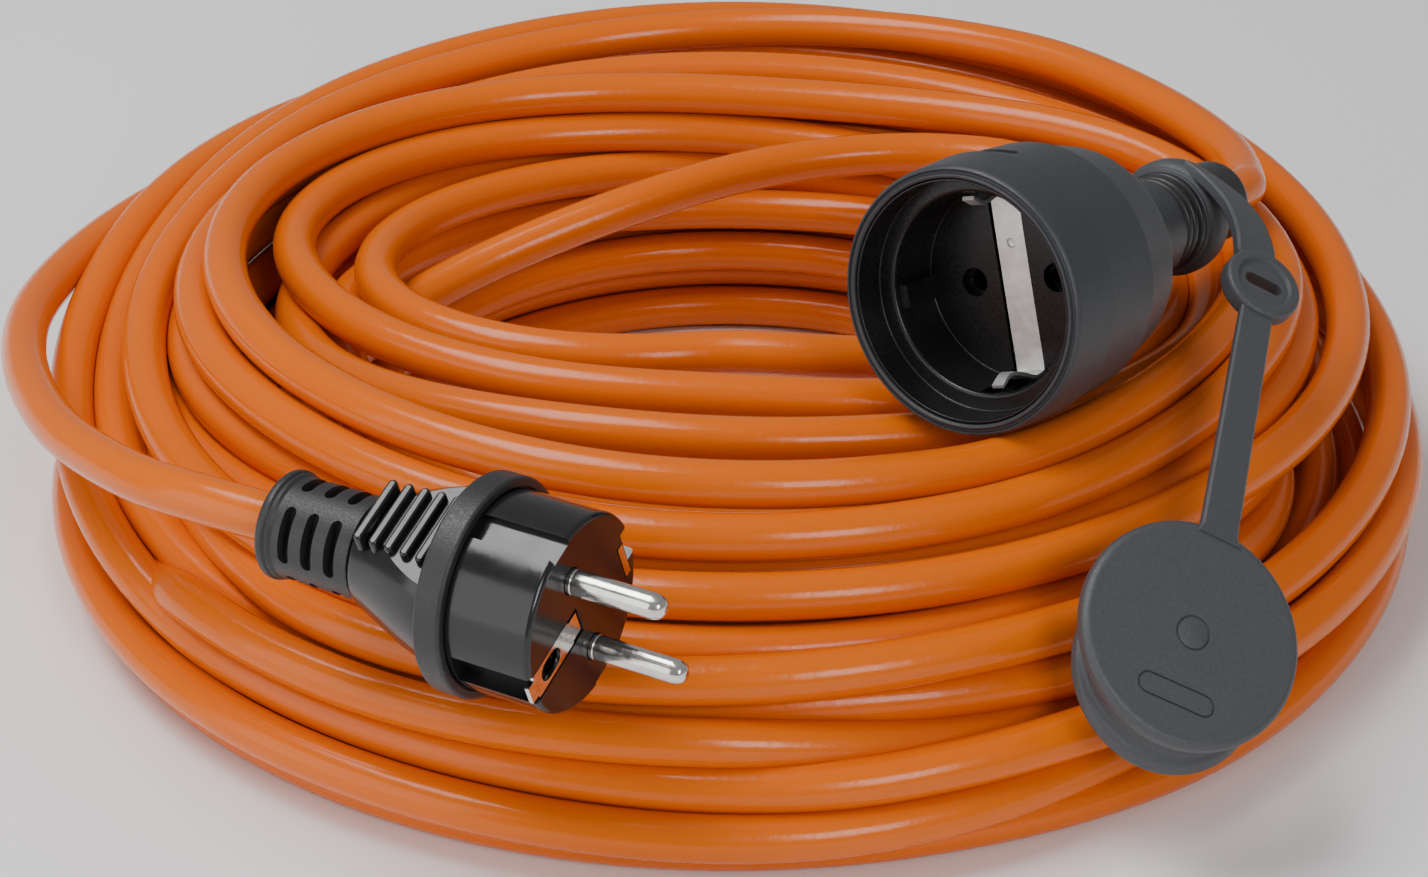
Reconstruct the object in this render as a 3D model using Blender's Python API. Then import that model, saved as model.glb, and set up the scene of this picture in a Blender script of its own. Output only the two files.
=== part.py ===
"""Outdoor extension cord: a loose round coil of jacketed cable with an earthed plug
on one end and a capped coupler on the other.

Metres, +Z up. The coil lies flat on z = 0. The coupler lies on its +X side with the
mouth towards -Y, and the plug lies on its -Y shoulder with the pins towards +X.
"""
import math

import bmesh
import bpy
from mathutils import Matrix, Vector

MM = 0.001
GAP = 0.3 * MM                       # what touching pieces keep between them

# --- cord and coil -------------------------------------------------------------
CORD_D = 9.4 * MM
CORD_BORE_R = CORD_D / 2 + 0.5 * MM
COIL_CENTRE = Vector((-0.0048, 0.0067, 0.0))     # the origin is under the whole cord's middle
COIL_INNER_R = 75 * MM
COIL_OUTER_R = 146 * MM
COIL_TOP = 56.5 * MM
COIL_SHOULDER_R = 118 * MM           # the sloping shoulder starts here, at the top
COIL_WALL_TOP = 28 * MM              # and ends here, on the outer wall
COIL_SIDES = 96

# --- where the plug, the coupler, the tether's eye and the cap lie, about the coil's centre
PLUG_FACE = Vector((0.0600, -0.1375, 0.0640))
PLUG_AXIS = Vector((0.998, 0.061, 0)).normalized()
PLUG_ROLL = 22                       # degrees, from upright to the live pin
COUPLER_TILT = 9.5                   # degrees that the mouth looks up
COUPLER_TURN = 5                     # degrees that it turns from -Y towards -X
COUPLER_RIM = Vector((0.0797, -0.0388, 0.0874))
COUPLER_ROLL = -70.6
EYE_CENTRE = Vector((0.1190, 0.0140, 0.0785))
CAP_CENTRE = Vector((0.1435, -0.0625, 0.0480))
CAP_NORMAL = Vector((0.600, -0.340, 0.724))
CAP_TO_STRAP = Vector((-0.180, 0.835, 0.520))

# --- plug: two 4.8 mm pins at 19 mm, body for a 39 mm round recess
PIN_R = 2.4 * MM
PIN_SPACING = 19 * MM
PIN_LENGTH = 19 * MM
PLUG_BODY_R = 18.5 * MM
PLUG_BODY_LENGTH = 17.5 * MM
PLUG_COLLAR_R = 20.6 * MM
PLUG_COLLAR_T = 5 * MM
PLUG_SHELL_LENGTH = 20.5 * MM
PLUG_RELIEF_LENGTH = 20.5 * MM
RELIEF_R = 9.75 * MM
EARTH_SOCKET_Y = 10 * MM             # the receptacle for a standing earth pin
EARTH_CLIP_WIDTH = 6 * MM
PAD_X = 13.0 * MM                    # the flat grip pads on the rear shell
GRIP_RIBS = 5

# --- coupler
RIM_R = 26.2 * MM
BARREL_R = 26.9 * MM
WELL_R = 19.8 * MM
WELL_DEPTH = 20.5 * MM
INSERT_R = 21.5 * MM
INSERT_BACK = 29.5 * MM
HOUSING_LENGTH = 69 * MM
NECK_R = 9.3 * MM
NECK_LENGTH = 31 * MM
CONTACT_HOLE_R = 2.7 * MM
TETHER_AT = 81.5 * MM                # the tether's ring, behind the rim

# --- tether and cap
TETHER_BORE_R = 9.8 * MM
TETHER_R = 13.2 * MM
TETHER_WIDTH = 7 * MM
EYE_R = 8.2 * MM
EYE_T = 3.2 * MM
SLOT_LENGTH = 8 * MM
SLOT_WIDTH = 3.0 * MM
STRAP_WIDTH = 7 * MM
STRAP_T = 1.8 * MM
FLEX_GAP = 1.1 * MM                  # each side of a bend in the rubber
CAP_R = 22.0 * MM
CAP_HEIGHT = 12 * MM
CAP_DISC_T = 3 * MM
CAP_WALL = 2 * MM


# --- small tools ---------------------------------------------------------------
def clear_scene():
    for obj in list(bpy.data.objects):
        bpy.data.objects.remove(obj, do_unlink=True)


def material(name, colour, roughness, metallic=0.0):
    mat = bpy.data.materials.get(name)
    if mat:
        return mat
    mat = bpy.data.materials.new(name)
    mat.use_nodes = True
    shader = mat.node_tree.nodes["Principled BSDF"]
    shader.inputs["Base Color"].default_value = (*colour, 1.0)
    shader.inputs["Roughness"].default_value = roughness
    shader.inputs["Metallic"].default_value = metallic
    return mat


def orange_jacket():
    return material("orange_jacket", (0.90, 0.23, 0.0), 0.28)


def gloss_black():
    return material("gloss_black", (0.02, 0.02, 0.022), 0.22)


def matte_black():
    return material("matte_black", (0.035, 0.035, 0.037), 0.6)


def grey_rubber():
    return material("grey_rubber", (0.10, 0.10, 0.11), 0.75)


def nickel():
    return material("nickel", (0.75, 0.74, 0.71), 0.18, 1.0)


def brass():
    return material("brass", (0.78, 0.58, 0.28), 0.3, 1.0)


def core_colour(name):
    colours = {
        "brown": (0.16, 0.06, 0.02),
        "blue": (0.02, 0.10, 0.45),
        "green_yellow": (0.35, 0.55, 0.03),
    }
    return material("core_" + name, colours[name], 0.45)


def empty(name, matrix, parent=None):
    obj = bpy.data.objects.new(name, None)
    bpy.context.scene.collection.objects.link(obj)
    obj.parent = parent
    bpy.context.view_layer.update()
    obj.matrix_world = matrix
    bpy.context.view_layer.update()
    return obj


def finish_mesh(name, bm, mat, parent, smooth=True):
    bmesh.ops.recalc_face_normals(bm, faces=bm.faces)
    mesh = bpy.data.meshes.new(name)
    bm.to_mesh(mesh)
    bm.free()
    if mat:
        mesh.materials.append(mat)
    if smooth:
        mesh.shade_smooth()
        mesh.set_sharp_from_angle(angle=math.radians(35))
    obj = bpy.data.objects.new(name, mesh)
    bpy.context.scene.collection.objects.link(obj)
    obj.parent = parent
    return obj


def ring_of(bm, radius, z, sides):
    if radius == 0:
        return [bm.verts.new((0, 0, z))]
    turn = 2 * math.pi / sides
    return [bm.verts.new((radius * math.cos((i + 0.5) * turn),
                          radius * math.sin((i + 0.5) * turn), z)) for i in range(sides)]


def skin(bm, low, high):
    """Faces between two rings, either of which may be a single point on the axis."""
    sides = max(len(low), len(high))
    for i in range(sides):
        j = (i + 1) % sides
        if len(low) == 1:
            bm.faces.new((low[0], high[i], high[j]))
        elif len(high) == 1:
            bm.faces.new((low[i], low[j], high[0]))
        else:
            bm.faces.new((low[i], low[j], high[j], high[i]))


def turned(name, profile, mat, parent, sides=48, place=(0, 0, 0)):
    """A turned piece: a profile of (radius, z), from the axis back to it, or a closed loop."""
    bm = bmesh.new()
    rings = [ring_of(bm, r, z, sides) for r, z in profile]
    for low, high in zip(rings, rings[1:]):
        skin(bm, low, high)
    if profile[0][0] > 0:
        skin(bm, rings[-1], rings[0])
    bmesh.ops.translate(bm, verts=bm.verts, vec=Vector(place))
    return finish_mesh(name, bm, mat, parent)


def sleeve(name, inner, outer, z0, z1, mat, parent, sides=32, place=(0, 0, 0)):
    profile = [(inner, z0), (outer, z0), (outer, z1), (inner, z1)]
    return turned(name, profile, mat, parent, sides, place)


def block(name, low, high, mat=None, parent=None, matrix=None):
    bm = bmesh.new()
    size = Vector(high) - Vector(low)
    centre = (Vector(high) + Vector(low)) / 2
    bmesh.ops.create_cube(bm, size=1)
    bmesh.ops.scale(bm, verts=bm.verts, vec=size)
    bmesh.ops.translate(bm, verts=bm.verts, vec=centre)
    if matrix:
        bmesh.ops.transform(bm, matrix=matrix, verts=bm.verts)
    return finish_mesh(name, bm, mat, parent, smooth=False)


def strip(name, centreline, width, thickness, mat, parent, side=Vector((1, 0, 0))):
    """A bent flat strip: its width runs along side, its thickness across the centreline."""
    bm = bmesh.new()
    loops = []
    last = len(centreline) - 1
    for i, point in enumerate(centreline):
        ahead = centreline[min(i + 1, last)] - centreline[max(i - 1, 0)]
        across = side.cross(ahead).normalized()
        w, t = side.normalized() * width / 2, across * thickness / 2
        loops.append([bm.verts.new(point + a * w + b * t)
                      for a, b in ((-1, -1), (1, -1), (1, 1), (-1, 1))])
    for low, high in zip(loops, loops[1:]):
        skin(bm, low, high)
    bm.faces.new(loops[0])
    bm.faces.new(loops[-1])
    return finish_mesh(name, bm, mat, parent, smooth=False)


def smooth_route(points, step):
    """Points a step apart along a smooth (Catmull-Rom) curve through the given ones."""
    pts = [Vector(p) for p in points]
    pts = [2 * pts[0] - pts[1]] + pts + [2 * pts[-1] - pts[-2]]
    dense = []
    for a, b, c, d in zip(pts, pts[1:], pts[2:], pts[3:]):
        for k in range(20):
            t = k / 20
            dense.append(0.5 * ((2 * b) + (c - a) * t + (2 * a - 5 * b + 4 * c - d) * t * t
                                + (3 * b - a - 3 * c + d) * t ** 3))
    dense.append(pts[-2])
    total = sum((q - p).length for p, q in zip(dense, dense[1:]))
    count = max(2, round(total / step))
    route, walked, target = [dense[0]], 0.0, total / count
    for p, q in zip(dense, dense[1:]):
        length = (q - p).length
        while walked + length >= target - 1e-9 and len(route) < count:
            route.append(p.lerp(q, (target - walked) / length))
            target += total / count
        walked += length
    route.append(dense[-1])
    return route


def tube(name, points, radius, mat, parent, step, resolution=2):
    curve = bpy.data.curves.new(name, "CURVE")
    curve.dimensions = "3D"
    curve.bevel_depth = radius
    curve.bevel_resolution = resolution
    curve.use_fill_caps = True
    spline = curve.splines.new("POLY")
    route = smooth_route(points, step)
    spline.points.add(len(route) - 1)
    for point, place in zip(spline.points, route):
        point.co = (*place, 1.0)
    curve.materials.append(mat)
    obj = bpy.data.objects.new(name, curve)
    bpy.context.scene.collection.objects.link(obj)
    obj.parent = parent
    return obj


def boolean(target, tool, operation):
    tool.hide_render = True
    tool.display_type = "WIRE"
    tool.parent = target.parent
    step = target.modifiers.new(tool.name, "BOOLEAN")
    step.operation = operation
    step.object = tool
    return target


def cut(target, tool):
    return boolean(target, tool, "DIFFERENCE")


def join(target, tool):
    return boolean(target, tool, "UNION")


def frame_matrix(origin, axis, roll):
    """Local Z along axis; local X is roll degrees round from the upright direction."""
    z = axis.normalized()
    up = (Vector((0, 0, 1)) - z * z.z).normalized()
    side = z.cross(up)
    x = up * math.cos(math.radians(roll)) + side * math.sin(math.radians(roll))
    return axes_matrix(origin, x, z)


def axes_matrix(origin, x, z):
    y = z.cross(x)
    turn = Matrix((x, y, z)).transposed().to_4x4()
    return Matrix.Translation(COIL_CENTRE + origin) @ turn


# --- coil and its two free ends --------------------------------------------------
def make_cord(whole):
    corner = 5 * MM
    profile = [
        (COIL_INNER_R + corner, 0), (COIL_OUTER_R - corner, 0), (COIL_OUTER_R, corner),
        (COIL_OUTER_R, COIL_WALL_TOP), (COIL_SHOULDER_R, COIL_TOP),
        (COIL_INNER_R + 2.5 * corner, COIL_TOP), (COIL_INNER_R, COIL_TOP - 3 * corner),
        (COIL_INNER_R, corner),
    ]
    turned("cord_coil", profile, orange_jacket(), whole, COIL_SIDES)
    plug_end = [
        PLUG_FACE - PLUG_AXIS * 47 * MM, PLUG_FACE - PLUG_AXIS * 68 * MM,
        (-0.0230, -0.1425, 0.0636), (-0.0410, -0.1400, 0.0612), (-0.0680, -0.1290, 0.0562),
        (-0.0960, -0.1095, 0.0510), (-0.1210, -0.0835, 0.0460), (-0.1370, -0.0520, 0.0420),
        (-0.1450, -0.0180, 0.0390), (-0.1460, 0.0150, 0.0370),
    ]
    tube("cord_plug_lead", plug_end, CORD_D / 2, orange_jacket(), whole, 2.4 * CORD_D, 3)
    neck = coupler_point(HOUSING_LENGTH + 3 * MM)
    coupler_end = [
        neck, coupler_point(HOUSING_LENGTH + NECK_LENGTH + 8 * MM), (0.0830, 0.0860, 0.0655),
        (0.0680, 0.1020, 0.0636), (0.0470, 0.1140, 0.0632), (0.0240, 0.1215, 0.0631),
    ]
    tube("cord_coupler_lead", coupler_end, CORD_D / 2, orange_jacket(), whole, 2.2 * CORD_D, 3)


def coupler_axis():
    tilt = math.radians(COUPLER_TILT)
    turn = math.radians(COUPLER_TURN)
    level = math.cos(tilt)
    return Vector((-math.sin(turn) * level, -math.cos(turn) * level, math.sin(tilt)))


def coupler_point(behind):
    """A point on the coupler's axis, this far behind its rim, about the coil's centre."""
    return COUPLER_RIM - coupler_axis() * behind


# --- plug ------------------------------------------------------------------------
def make_plug(whole):
    frame = empty("plug_frame", frame_matrix(PLUG_FACE, PLUG_AXIS, PLUG_ROLL), whole)
    collar_back = -PLUG_BODY_LENGTH - PLUG_COLLAR_T
    make_plug_body(frame, collar_back)
    seat = -PLUG_BODY_LENGTH + 0.5 * MM
    turned("plug_collar", [
        (PLUG_BODY_R - 2.5 * MM, collar_back), (PLUG_COLLAR_R - 0.6 * MM, collar_back),
        (PLUG_COLLAR_R, collar_back + 0.6 * MM), (PLUG_COLLAR_R, seat - 0.6 * MM),
        (PLUG_COLLAR_R - 0.6 * MM, seat), (PLUG_BODY_R + GAP, seat),
        (PLUG_BODY_R + GAP, -PLUG_BODY_LENGTH - GAP),
        (PLUG_BODY_R - 2.5 * MM, -PLUG_BODY_LENGTH - GAP),
    ], matte_black(), frame, 64)
    make_plug_shell(frame, collar_back - GAP)
    relief_front = collar_back - PLUG_SHELL_LENGTH - GAP
    make_bend_relief("plug_bend_relief", frame, relief_front)
    make_plug_metal(frame)
    make_plug_wires(frame, relief_front)


def make_plug_body(frame, collar_back):
    """The hard front insert: grooves on the pin line, slots for the earth clips."""
    neck_r = PLUG_BODY_R - 2.8 * MM
    body = turned("plug_body", [
        (0, 0), (PLUG_BODY_R - 0.6 * MM, 0), (PLUG_BODY_R, -0.6 * MM),
        (PLUG_BODY_R, -PLUG_BODY_LENGTH), (neck_r, -PLUG_BODY_LENGTH),
        (neck_r, collar_back), (0, collar_back),
    ], gloss_black(), frame, 64)
    groove = 2.8 * MM
    for side in (-1, 1):
        low = min(side * (PLUG_BODY_R - 2.3 * MM), side * PLUG_BODY_R * 1.2)
        high = max(side * (PLUG_BODY_R - 2.3 * MM), side * PLUG_BODY_R * 1.2)
        cut(body, block(f"cut_groove_{side}", (low, -groove, -PLUG_BODY_LENGTH + 1.5 * MM),
                        (high, groove, 2 * MM)))
        cut(body, pin_bore(f"cut_pin_{side}", side * PIN_SPACING / 2, 0, PIN_R + GAP, collar_back))
        clip = EARTH_CLIP_WIDTH / 2 + 0.4 * MM
        low = min(side * (PLUG_BODY_R - 3.0 * MM), side * PLUG_BODY_R * 1.2)
        high = max(side * (PLUG_BODY_R - 3.0 * MM), side * PLUG_BODY_R * 1.2)
        cut(body, block(f"cut_clip_{side}", (-clip, low, -PLUG_BODY_LENGTH + 1.5 * MM),
                        (clip, high, 2 * MM)))
    tab = EARTH_CLIP_WIDTH / 2 + 0.6 * MM
    cut(body, block("cut_face_tab", (-tab, 5.6 * MM, -1.2 * MM),
                    (tab, PLUG_BODY_R * 1.15, 1.5 * MM)))
    cut(body, pin_bore("cut_receptacle", 0, EARTH_SOCKET_Y, 3.3 * MM, collar_back))


def pin_bore(name, x, y, radius, back):
    return turned(name, [(0, back - 2 * MM), (radius, back - 2 * MM), (radius, 2 * MM),
                         (0, 2 * MM)], None, None, 24, (x, y, 0))


def make_plug_shell(frame, front):
    """The overmoulded rear shell: a hollow cone with two flat pads of cross ribs."""
    back = front - PLUG_SHELL_LENGTH + GAP
    shell = turned("plug_rear_shell", [
        (CORD_BORE_R, back), (10.6 * MM, back), (11.6 * MM, back + 2 * MM),
        (14.2 * MM, back + 8 * MM), (16.4 * MM, front - 6 * MM), (17.2 * MM, front),
        (13.6 * MM, front), (11.7 * MM, front - 2 * MM), (11.7 * MM, front - 11 * MM),
        (8 * MM, back + 5 * MM), (CORD_BORE_R, back + 3 * MM),
    ], gloss_black(), frame, 56)
    for side in (-1, 1):
        far, near = side * 22 * MM, side * PAD_X
        low, high = min(far, near), max(far, near)
        cut(shell, block(f"cut_pad_{side}", (low, -22 * MM, back - 2 * MM),
                         (high, 22 * MM, front - 2.5 * MM)))
        for k in range(GRIP_RIBS):
            z = back + 2.2 * MM + k * 3.4 * MM
            inside, outside = side * (PAD_X - 0.9 * MM), side * (PAD_X + 1.2 * MM)
            join(shell, block(f"rib_{side}_{k}",
                              (min(inside, outside), -7.6 * MM, z),
                              (max(inside, outside), 7.6 * MM, z + 1.7 * MM)))


def make_bend_relief(name, frame, front):
    """The slotted rubber sleeve behind the plug, with a bead on its end."""
    back = front - PLUG_RELIEF_LENGTH + GAP
    relief = turned(name, [
        (CORD_BORE_R, back), (RELIEF_R + 0.2 * MM, back), (RELIEF_R + 0.9 * MM, back + 1 * MM),
        (RELIEF_R + 0.9 * MM, back + 2.4 * MM), (RELIEF_R, back + 3.2 * MM),
        (RELIEF_R, front), (CORD_BORE_R, front),
    ], matte_black(), frame, 40)
    for k in range(3):
        z = back + 5.2 * MM + k * 5.0 * MM
        for row in range(4):
            turn = Matrix.Rotation(math.radians(90 * row + 45), 4, "Z")
            cut(relief, block(f"cut_slot_{k}_{row}", (CORD_BORE_R - 1.5 * MM, -4.2 * MM, z),
                              (RELIEF_R * 1.4, 4.2 * MM, z + 2 * MM), matrix=turn))


def make_plug_metal(frame):
    for name, side in (("pin_live", 1), ("pin_neutral", -1)):
        tip = PIN_LENGTH
        turned(name, [
            (0, -26 * MM), (1.6 * MM, -26 * MM), (1.6 * MM, -22 * MM), (PIN_R, -22 * MM),
            (PIN_R, tip - 1.9 * MM),
            (PIN_R * 0.87, tip - 0.9 * MM), (PIN_R * 0.55, tip - 0.25 * MM), (0, tip),
        ], nickel(), frame, 24, (side * PIN_SPACING / 2, 0, 0))
    make_plug_earth_strap(frame)
    sleeve("plug_earth_socket", 2.45 * MM, 2.95 * MM, -16 * MM, -1.6 * MM, nickel(), frame, 20,
           (0, EARTH_SOCKET_Y, 0))


def make_plug_earth_strap(frame):
    """One bent strip: a clip on each side, and a tab over the face round the receptacle."""
    t = 0.6 * MM
    deep = -PLUG_BODY_LENGTH + 2.2 * MM
    y = PLUG_BODY_R - 1.6 * MM
    upper = [Vector((0, -y + 0.9 * MM, deep)), Vector((0, -y - 0.6 * MM, -8 * MM)),
             Vector((0, -y + 0.8 * MM, -1.4 * MM))]
    strip("plug_earth_clip", upper, EARTH_CLIP_WIDTH, t, nickel(), frame)
    lower = [Vector((0, y - 0.9 * MM, deep)), Vector((0, y + 0.6 * MM, -8 * MM)),
             Vector((0, y - 0.4 * MM, -0.6 * MM)), Vector((0, 6.2 * MM, -0.6 * MM))]
    clip = strip("plug_earth_tab", lower, EARTH_CLIP_WIDTH, t, nickel(), frame)
    cut(clip, turned("cut_tab_hole", [(0, -1.4 * MM), (2.5 * MM, -1.4 * MM),
                                      (2.5 * MM, 1.4 * MM), (0, 1.4 * MM)],
                     None, None, 24, (0, EARTH_SOCKET_Y - 0.3 * MM, 0)))


def make_plug_wires(frame, relief_front):
    places = {"live": (PIN_SPACING / 2, 0, "brown"), "neutral": (-PIN_SPACING / 2, 0, "blue"),
              "earth": (0, 8 * MM, "green_yellow")}
    for name, (x, y, colour) in places.items():
        near = Vector((x, y, -26.4 * MM))
        if name == "earth":
            near = Vector((x, y, -24 * MM))
        sleeve(f"plug_crimp_{name}", 1.4 * MM, 1.9 * MM, near.z - 6 * MM, near.z,
               brass(), frame, 16, (x, y, 0))
        start = near - Vector((0, 0, 5 * MM))
        inward = Vector((x, y, 0)).normalized() * 2.2 * MM
        end = Vector((inward.x, inward.y, relief_front + 1.5 * MM))
        straight = start - Vector((0, 0, 3 * MM))
        before = end + Vector((0, 0, 4 * MM))
        tube(f"plug_core_{colour}", [start, straight, before, end], 1.05 * MM,
             core_colour(colour), frame, 2.5 * MM)


# --- coupler ---------------------------------------------------------------------
def make_coupler(whole):
    frame = empty("coupler_frame", frame_matrix(COUPLER_RIM, coupler_axis(), COUPLER_ROLL), whole)
    turned("coupler_housing", [
        (23.0 * MM, 0), (RIM_R - 0.8 * MM, 0), (RIM_R, -1.0 * MM), (RIM_R, -2.2 * MM),
        (BARREL_R, -13 * MM), (BARREL_R - 1.2 * MM, -30 * MM), (22.4 * MM, -43 * MM),
        (21.0 * MM, -44.2 * MM), (13.6 * MM, -52 * MM), (11.4 * MM, -60 * MM),
        (10.8 * MM, -HOUSING_LENGTH),
        (CORD_BORE_R, -HOUSING_LENGTH), (CORD_BORE_R, -64 * MM), (8.2 * MM, -58 * MM),
        (17.2 * MM, -38 * MM), (17.2 * MM, -32 * MM), (INSERT_R + GAP, -32 * MM),
        (INSERT_R + GAP, -3 * MM), (23.0 * MM, -3 * MM),
    ], grey_rubber(), frame, 56)
    make_socket_insert(frame)
    sleeve("coupler_rim_seal", 20.6 * MM, 22.7 * MM, -2.6 * MM, -1.0 * MM, grey_rubber(), frame, 56)
    make_earth_bridge(frame)
    make_coupler_contacts(frame)
    make_coupler_neck(frame)


def make_socket_insert(frame):
    """The cup that takes the plug, with guide ribs, earth notches and contact holes."""
    top = -3.3 * MM
    insert = turned("coupler_insert", [
        (0, -WELL_DEPTH), (WELL_R, -WELL_DEPTH), (WELL_R, top), (INSERT_R, top),
        (INSERT_R, -INSERT_BACK), (0, -INSERT_BACK),
    ], matte_black(), frame, 60)
    for side in (-1, 1):
        inside, outside = side * (WELL_R - 1.9 * MM), side * (WELL_R + 0.8 * MM)
        join(insert, block(f"guide_{side}", (min(inside, outside), -2.3 * MM, -WELL_DEPTH - MM),
                           (max(inside, outside), 2.3 * MM, top - 3 * MM)))
        inside, outside = side * (WELL_R - 2 * MM), side * (WELL_R + 1.0 * MM)
        cut(insert, block(f"cut_notch_{side}", (-4.2 * MM, min(inside, outside), -23 * MM),
                          (4.2 * MM, max(inside, outside), top - 4 * MM)))
        x = side * PIN_SPACING / 2
        cut(insert, turned(f"cut_contact_{side}", [
            (0, -INSERT_BACK - MM), (3.6 * MM, -INSERT_BACK - MM), (3.6 * MM, -23.5 * MM),
            (CONTACT_HOLE_R, -23.5 * MM), (CONTACT_HOLE_R, -WELL_DEPTH + MM),
            (0, -WELL_DEPTH + MM)], None, None, 24, (x, 0, 0)))
    cut(insert, block("cut_channel", (-3.6 * MM, -WELL_R, -WELL_DEPTH - 1.6 * MM),
                      (3.6 * MM, WELL_R, -WELL_DEPTH + MM)))


def make_earth_bridge(frame):
    """The flat strip across the well's floor whose ends stand up as the earth springs."""
    z = -WELL_DEPTH - 0.9 * MM
    edge = WELL_R + 0.1 * MM
    line = [Vector((0, -edge + 1.5 * MM, -9.5 * MM)), Vector((0, -edge + 3.0 * MM, -12.5 * MM)),
            Vector((0, -edge + 0.5 * MM, -18.5 * MM)), Vector((0, -edge + 1.2 * MM, z))]
    line += [Vector((0, -p.y, p.z)) for p in reversed(line)]
    strip("coupler_earth_bridge", line, 6.4 * MM, 0.8 * MM, nickel(), frame)


def make_coupler_contacts(frame):
    places = {"live": (PIN_SPACING / 2, 0, "brown"), "neutral": (-PIN_SPACING / 2, 0, "blue"),
              "earth": (0, 9 * MM, "green_yellow")}
    for name, (x, y, colour) in places.items():
        crimp_front = -36.4 * MM if y == 0 else -31 * MM
        if y == 0:
            sleeve(f"contact_sleeve_{name}", 2.45 * MM, 3.2 * MM, -36 * MM, -23.9 * MM, brass(),
                   frame, 20, (x, y, 0))
        sleeve(f"coupler_crimp_{name}", 1.4 * MM, 1.9 * MM, crimp_front - 6 * MM, crimp_front,
               brass(), frame, 16, (x, y, 0))
        start = Vector((x, y, crimp_front - 5 * MM))
        inward = Vector((x, y, 0)).normalized() * 2.2 * MM
        end = Vector((inward.x, inward.y, -62 * MM))
        route = [start, start - Vector((0, 0, 3 * MM)), end + Vector((0, 0, 6 * MM)), end]
        tube(f"coupler_core_{colour}", route, 1.05 * MM, core_colour(colour), frame, 2.5 * MM)


def make_coupler_neck(frame):
    """The ribbed bend relief, with a plain seat for the tether's ring."""
    front = -HOUSING_LENGTH - GAP
    back = -HOUSING_LENGTH - NECK_LENGTH
    profile = [(CORD_BORE_R, back), (8.0 * MM, back), (8.6 * MM, back + MM),
               (8.6 * MM, back + 9 * MM)]
    seat_back = -TETHER_AT - TETHER_WIDTH / 2 - 0.4 * MM
    seat_front = -TETHER_AT + TETHER_WIDTH / 2 + 0.4 * MM
    profile += [(NECK_R + 1.2 * MM, seat_back - 1.6 * MM), (NECK_R + 1.2 * MM, seat_back),
                (NECK_R, seat_back), (NECK_R, seat_front), (NECK_R + 1.2 * MM, seat_front),
                (NECK_R + 1.2 * MM, seat_front + 1.4 * MM)]
    for k in range(2):
        z = seat_front + (2.6 + 2.6 * k) * MM
        profile += [(NECK_R, z - 0.8 * MM), (NECK_R, z), (NECK_R + 0.8 * MM, z + 0.5 * MM),
                    (NECK_R + 0.8 * MM, z + 1.2 * MM)]
    profile += [(NECK_R, front), (CORD_BORE_R, front)]
    turned("coupler_bend_relief", profile, matte_black(), frame, 36)


# --- tether and cap ----------------------------------------------------------------
def strap_line():
    """Where the rubber bends: under the eye and at the cap's edge, about the coil's centre."""
    cap_bend = CAP_CENTRE + CAP_TO_STRAP.normalized() * (CAP_R + FLEX_GAP)
    cap_bend -= CAP_NORMAL.normalized() * CAP_DISC_T / 2
    along = (EYE_CENTRE - cap_bend).normalized()
    eye_bend = EYE_CENTRE - along * (EYE_R + FLEX_GAP)
    return eye_bend, cap_bend, along


def make_tether(whole):
    eye_bend, cap_bend, along = strap_line()
    normal = CAP_NORMAL.normalized()
    strap_normal = (normal - along * normal.dot(along)).normalized()
    swivel = empty("tether_swivel_frame",
                   frame_matrix(coupler_point(TETHER_AT), coupler_axis(), COUPLER_ROLL), whole)
    bend_matrix = axes_matrix(eye_bend, along.cross(strap_normal), strap_normal)
    strap_frame = empty("strap_bend_frame", bend_matrix, swivel)
    cap_along = CAP_TO_STRAP - normal * CAP_TO_STRAP.dot(normal)
    cap_x = cap_along.normalized().cross(normal)
    cap_frame = empty("cap_bend_frame", axes_matrix(cap_bend, cap_x, normal), strap_frame)
    make_tether_ring(swivel, strap_frame)
    reach = (eye_bend - cap_bend).length
    block("cap_strap", (-STRAP_WIDTH / 2, -reach + FLEX_GAP, -STRAP_T / 2),
          (STRAP_WIDTH / 2, -FLEX_GAP, STRAP_T / 2), grey_rubber(), strap_frame)
    make_cap(cap_frame)


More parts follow.
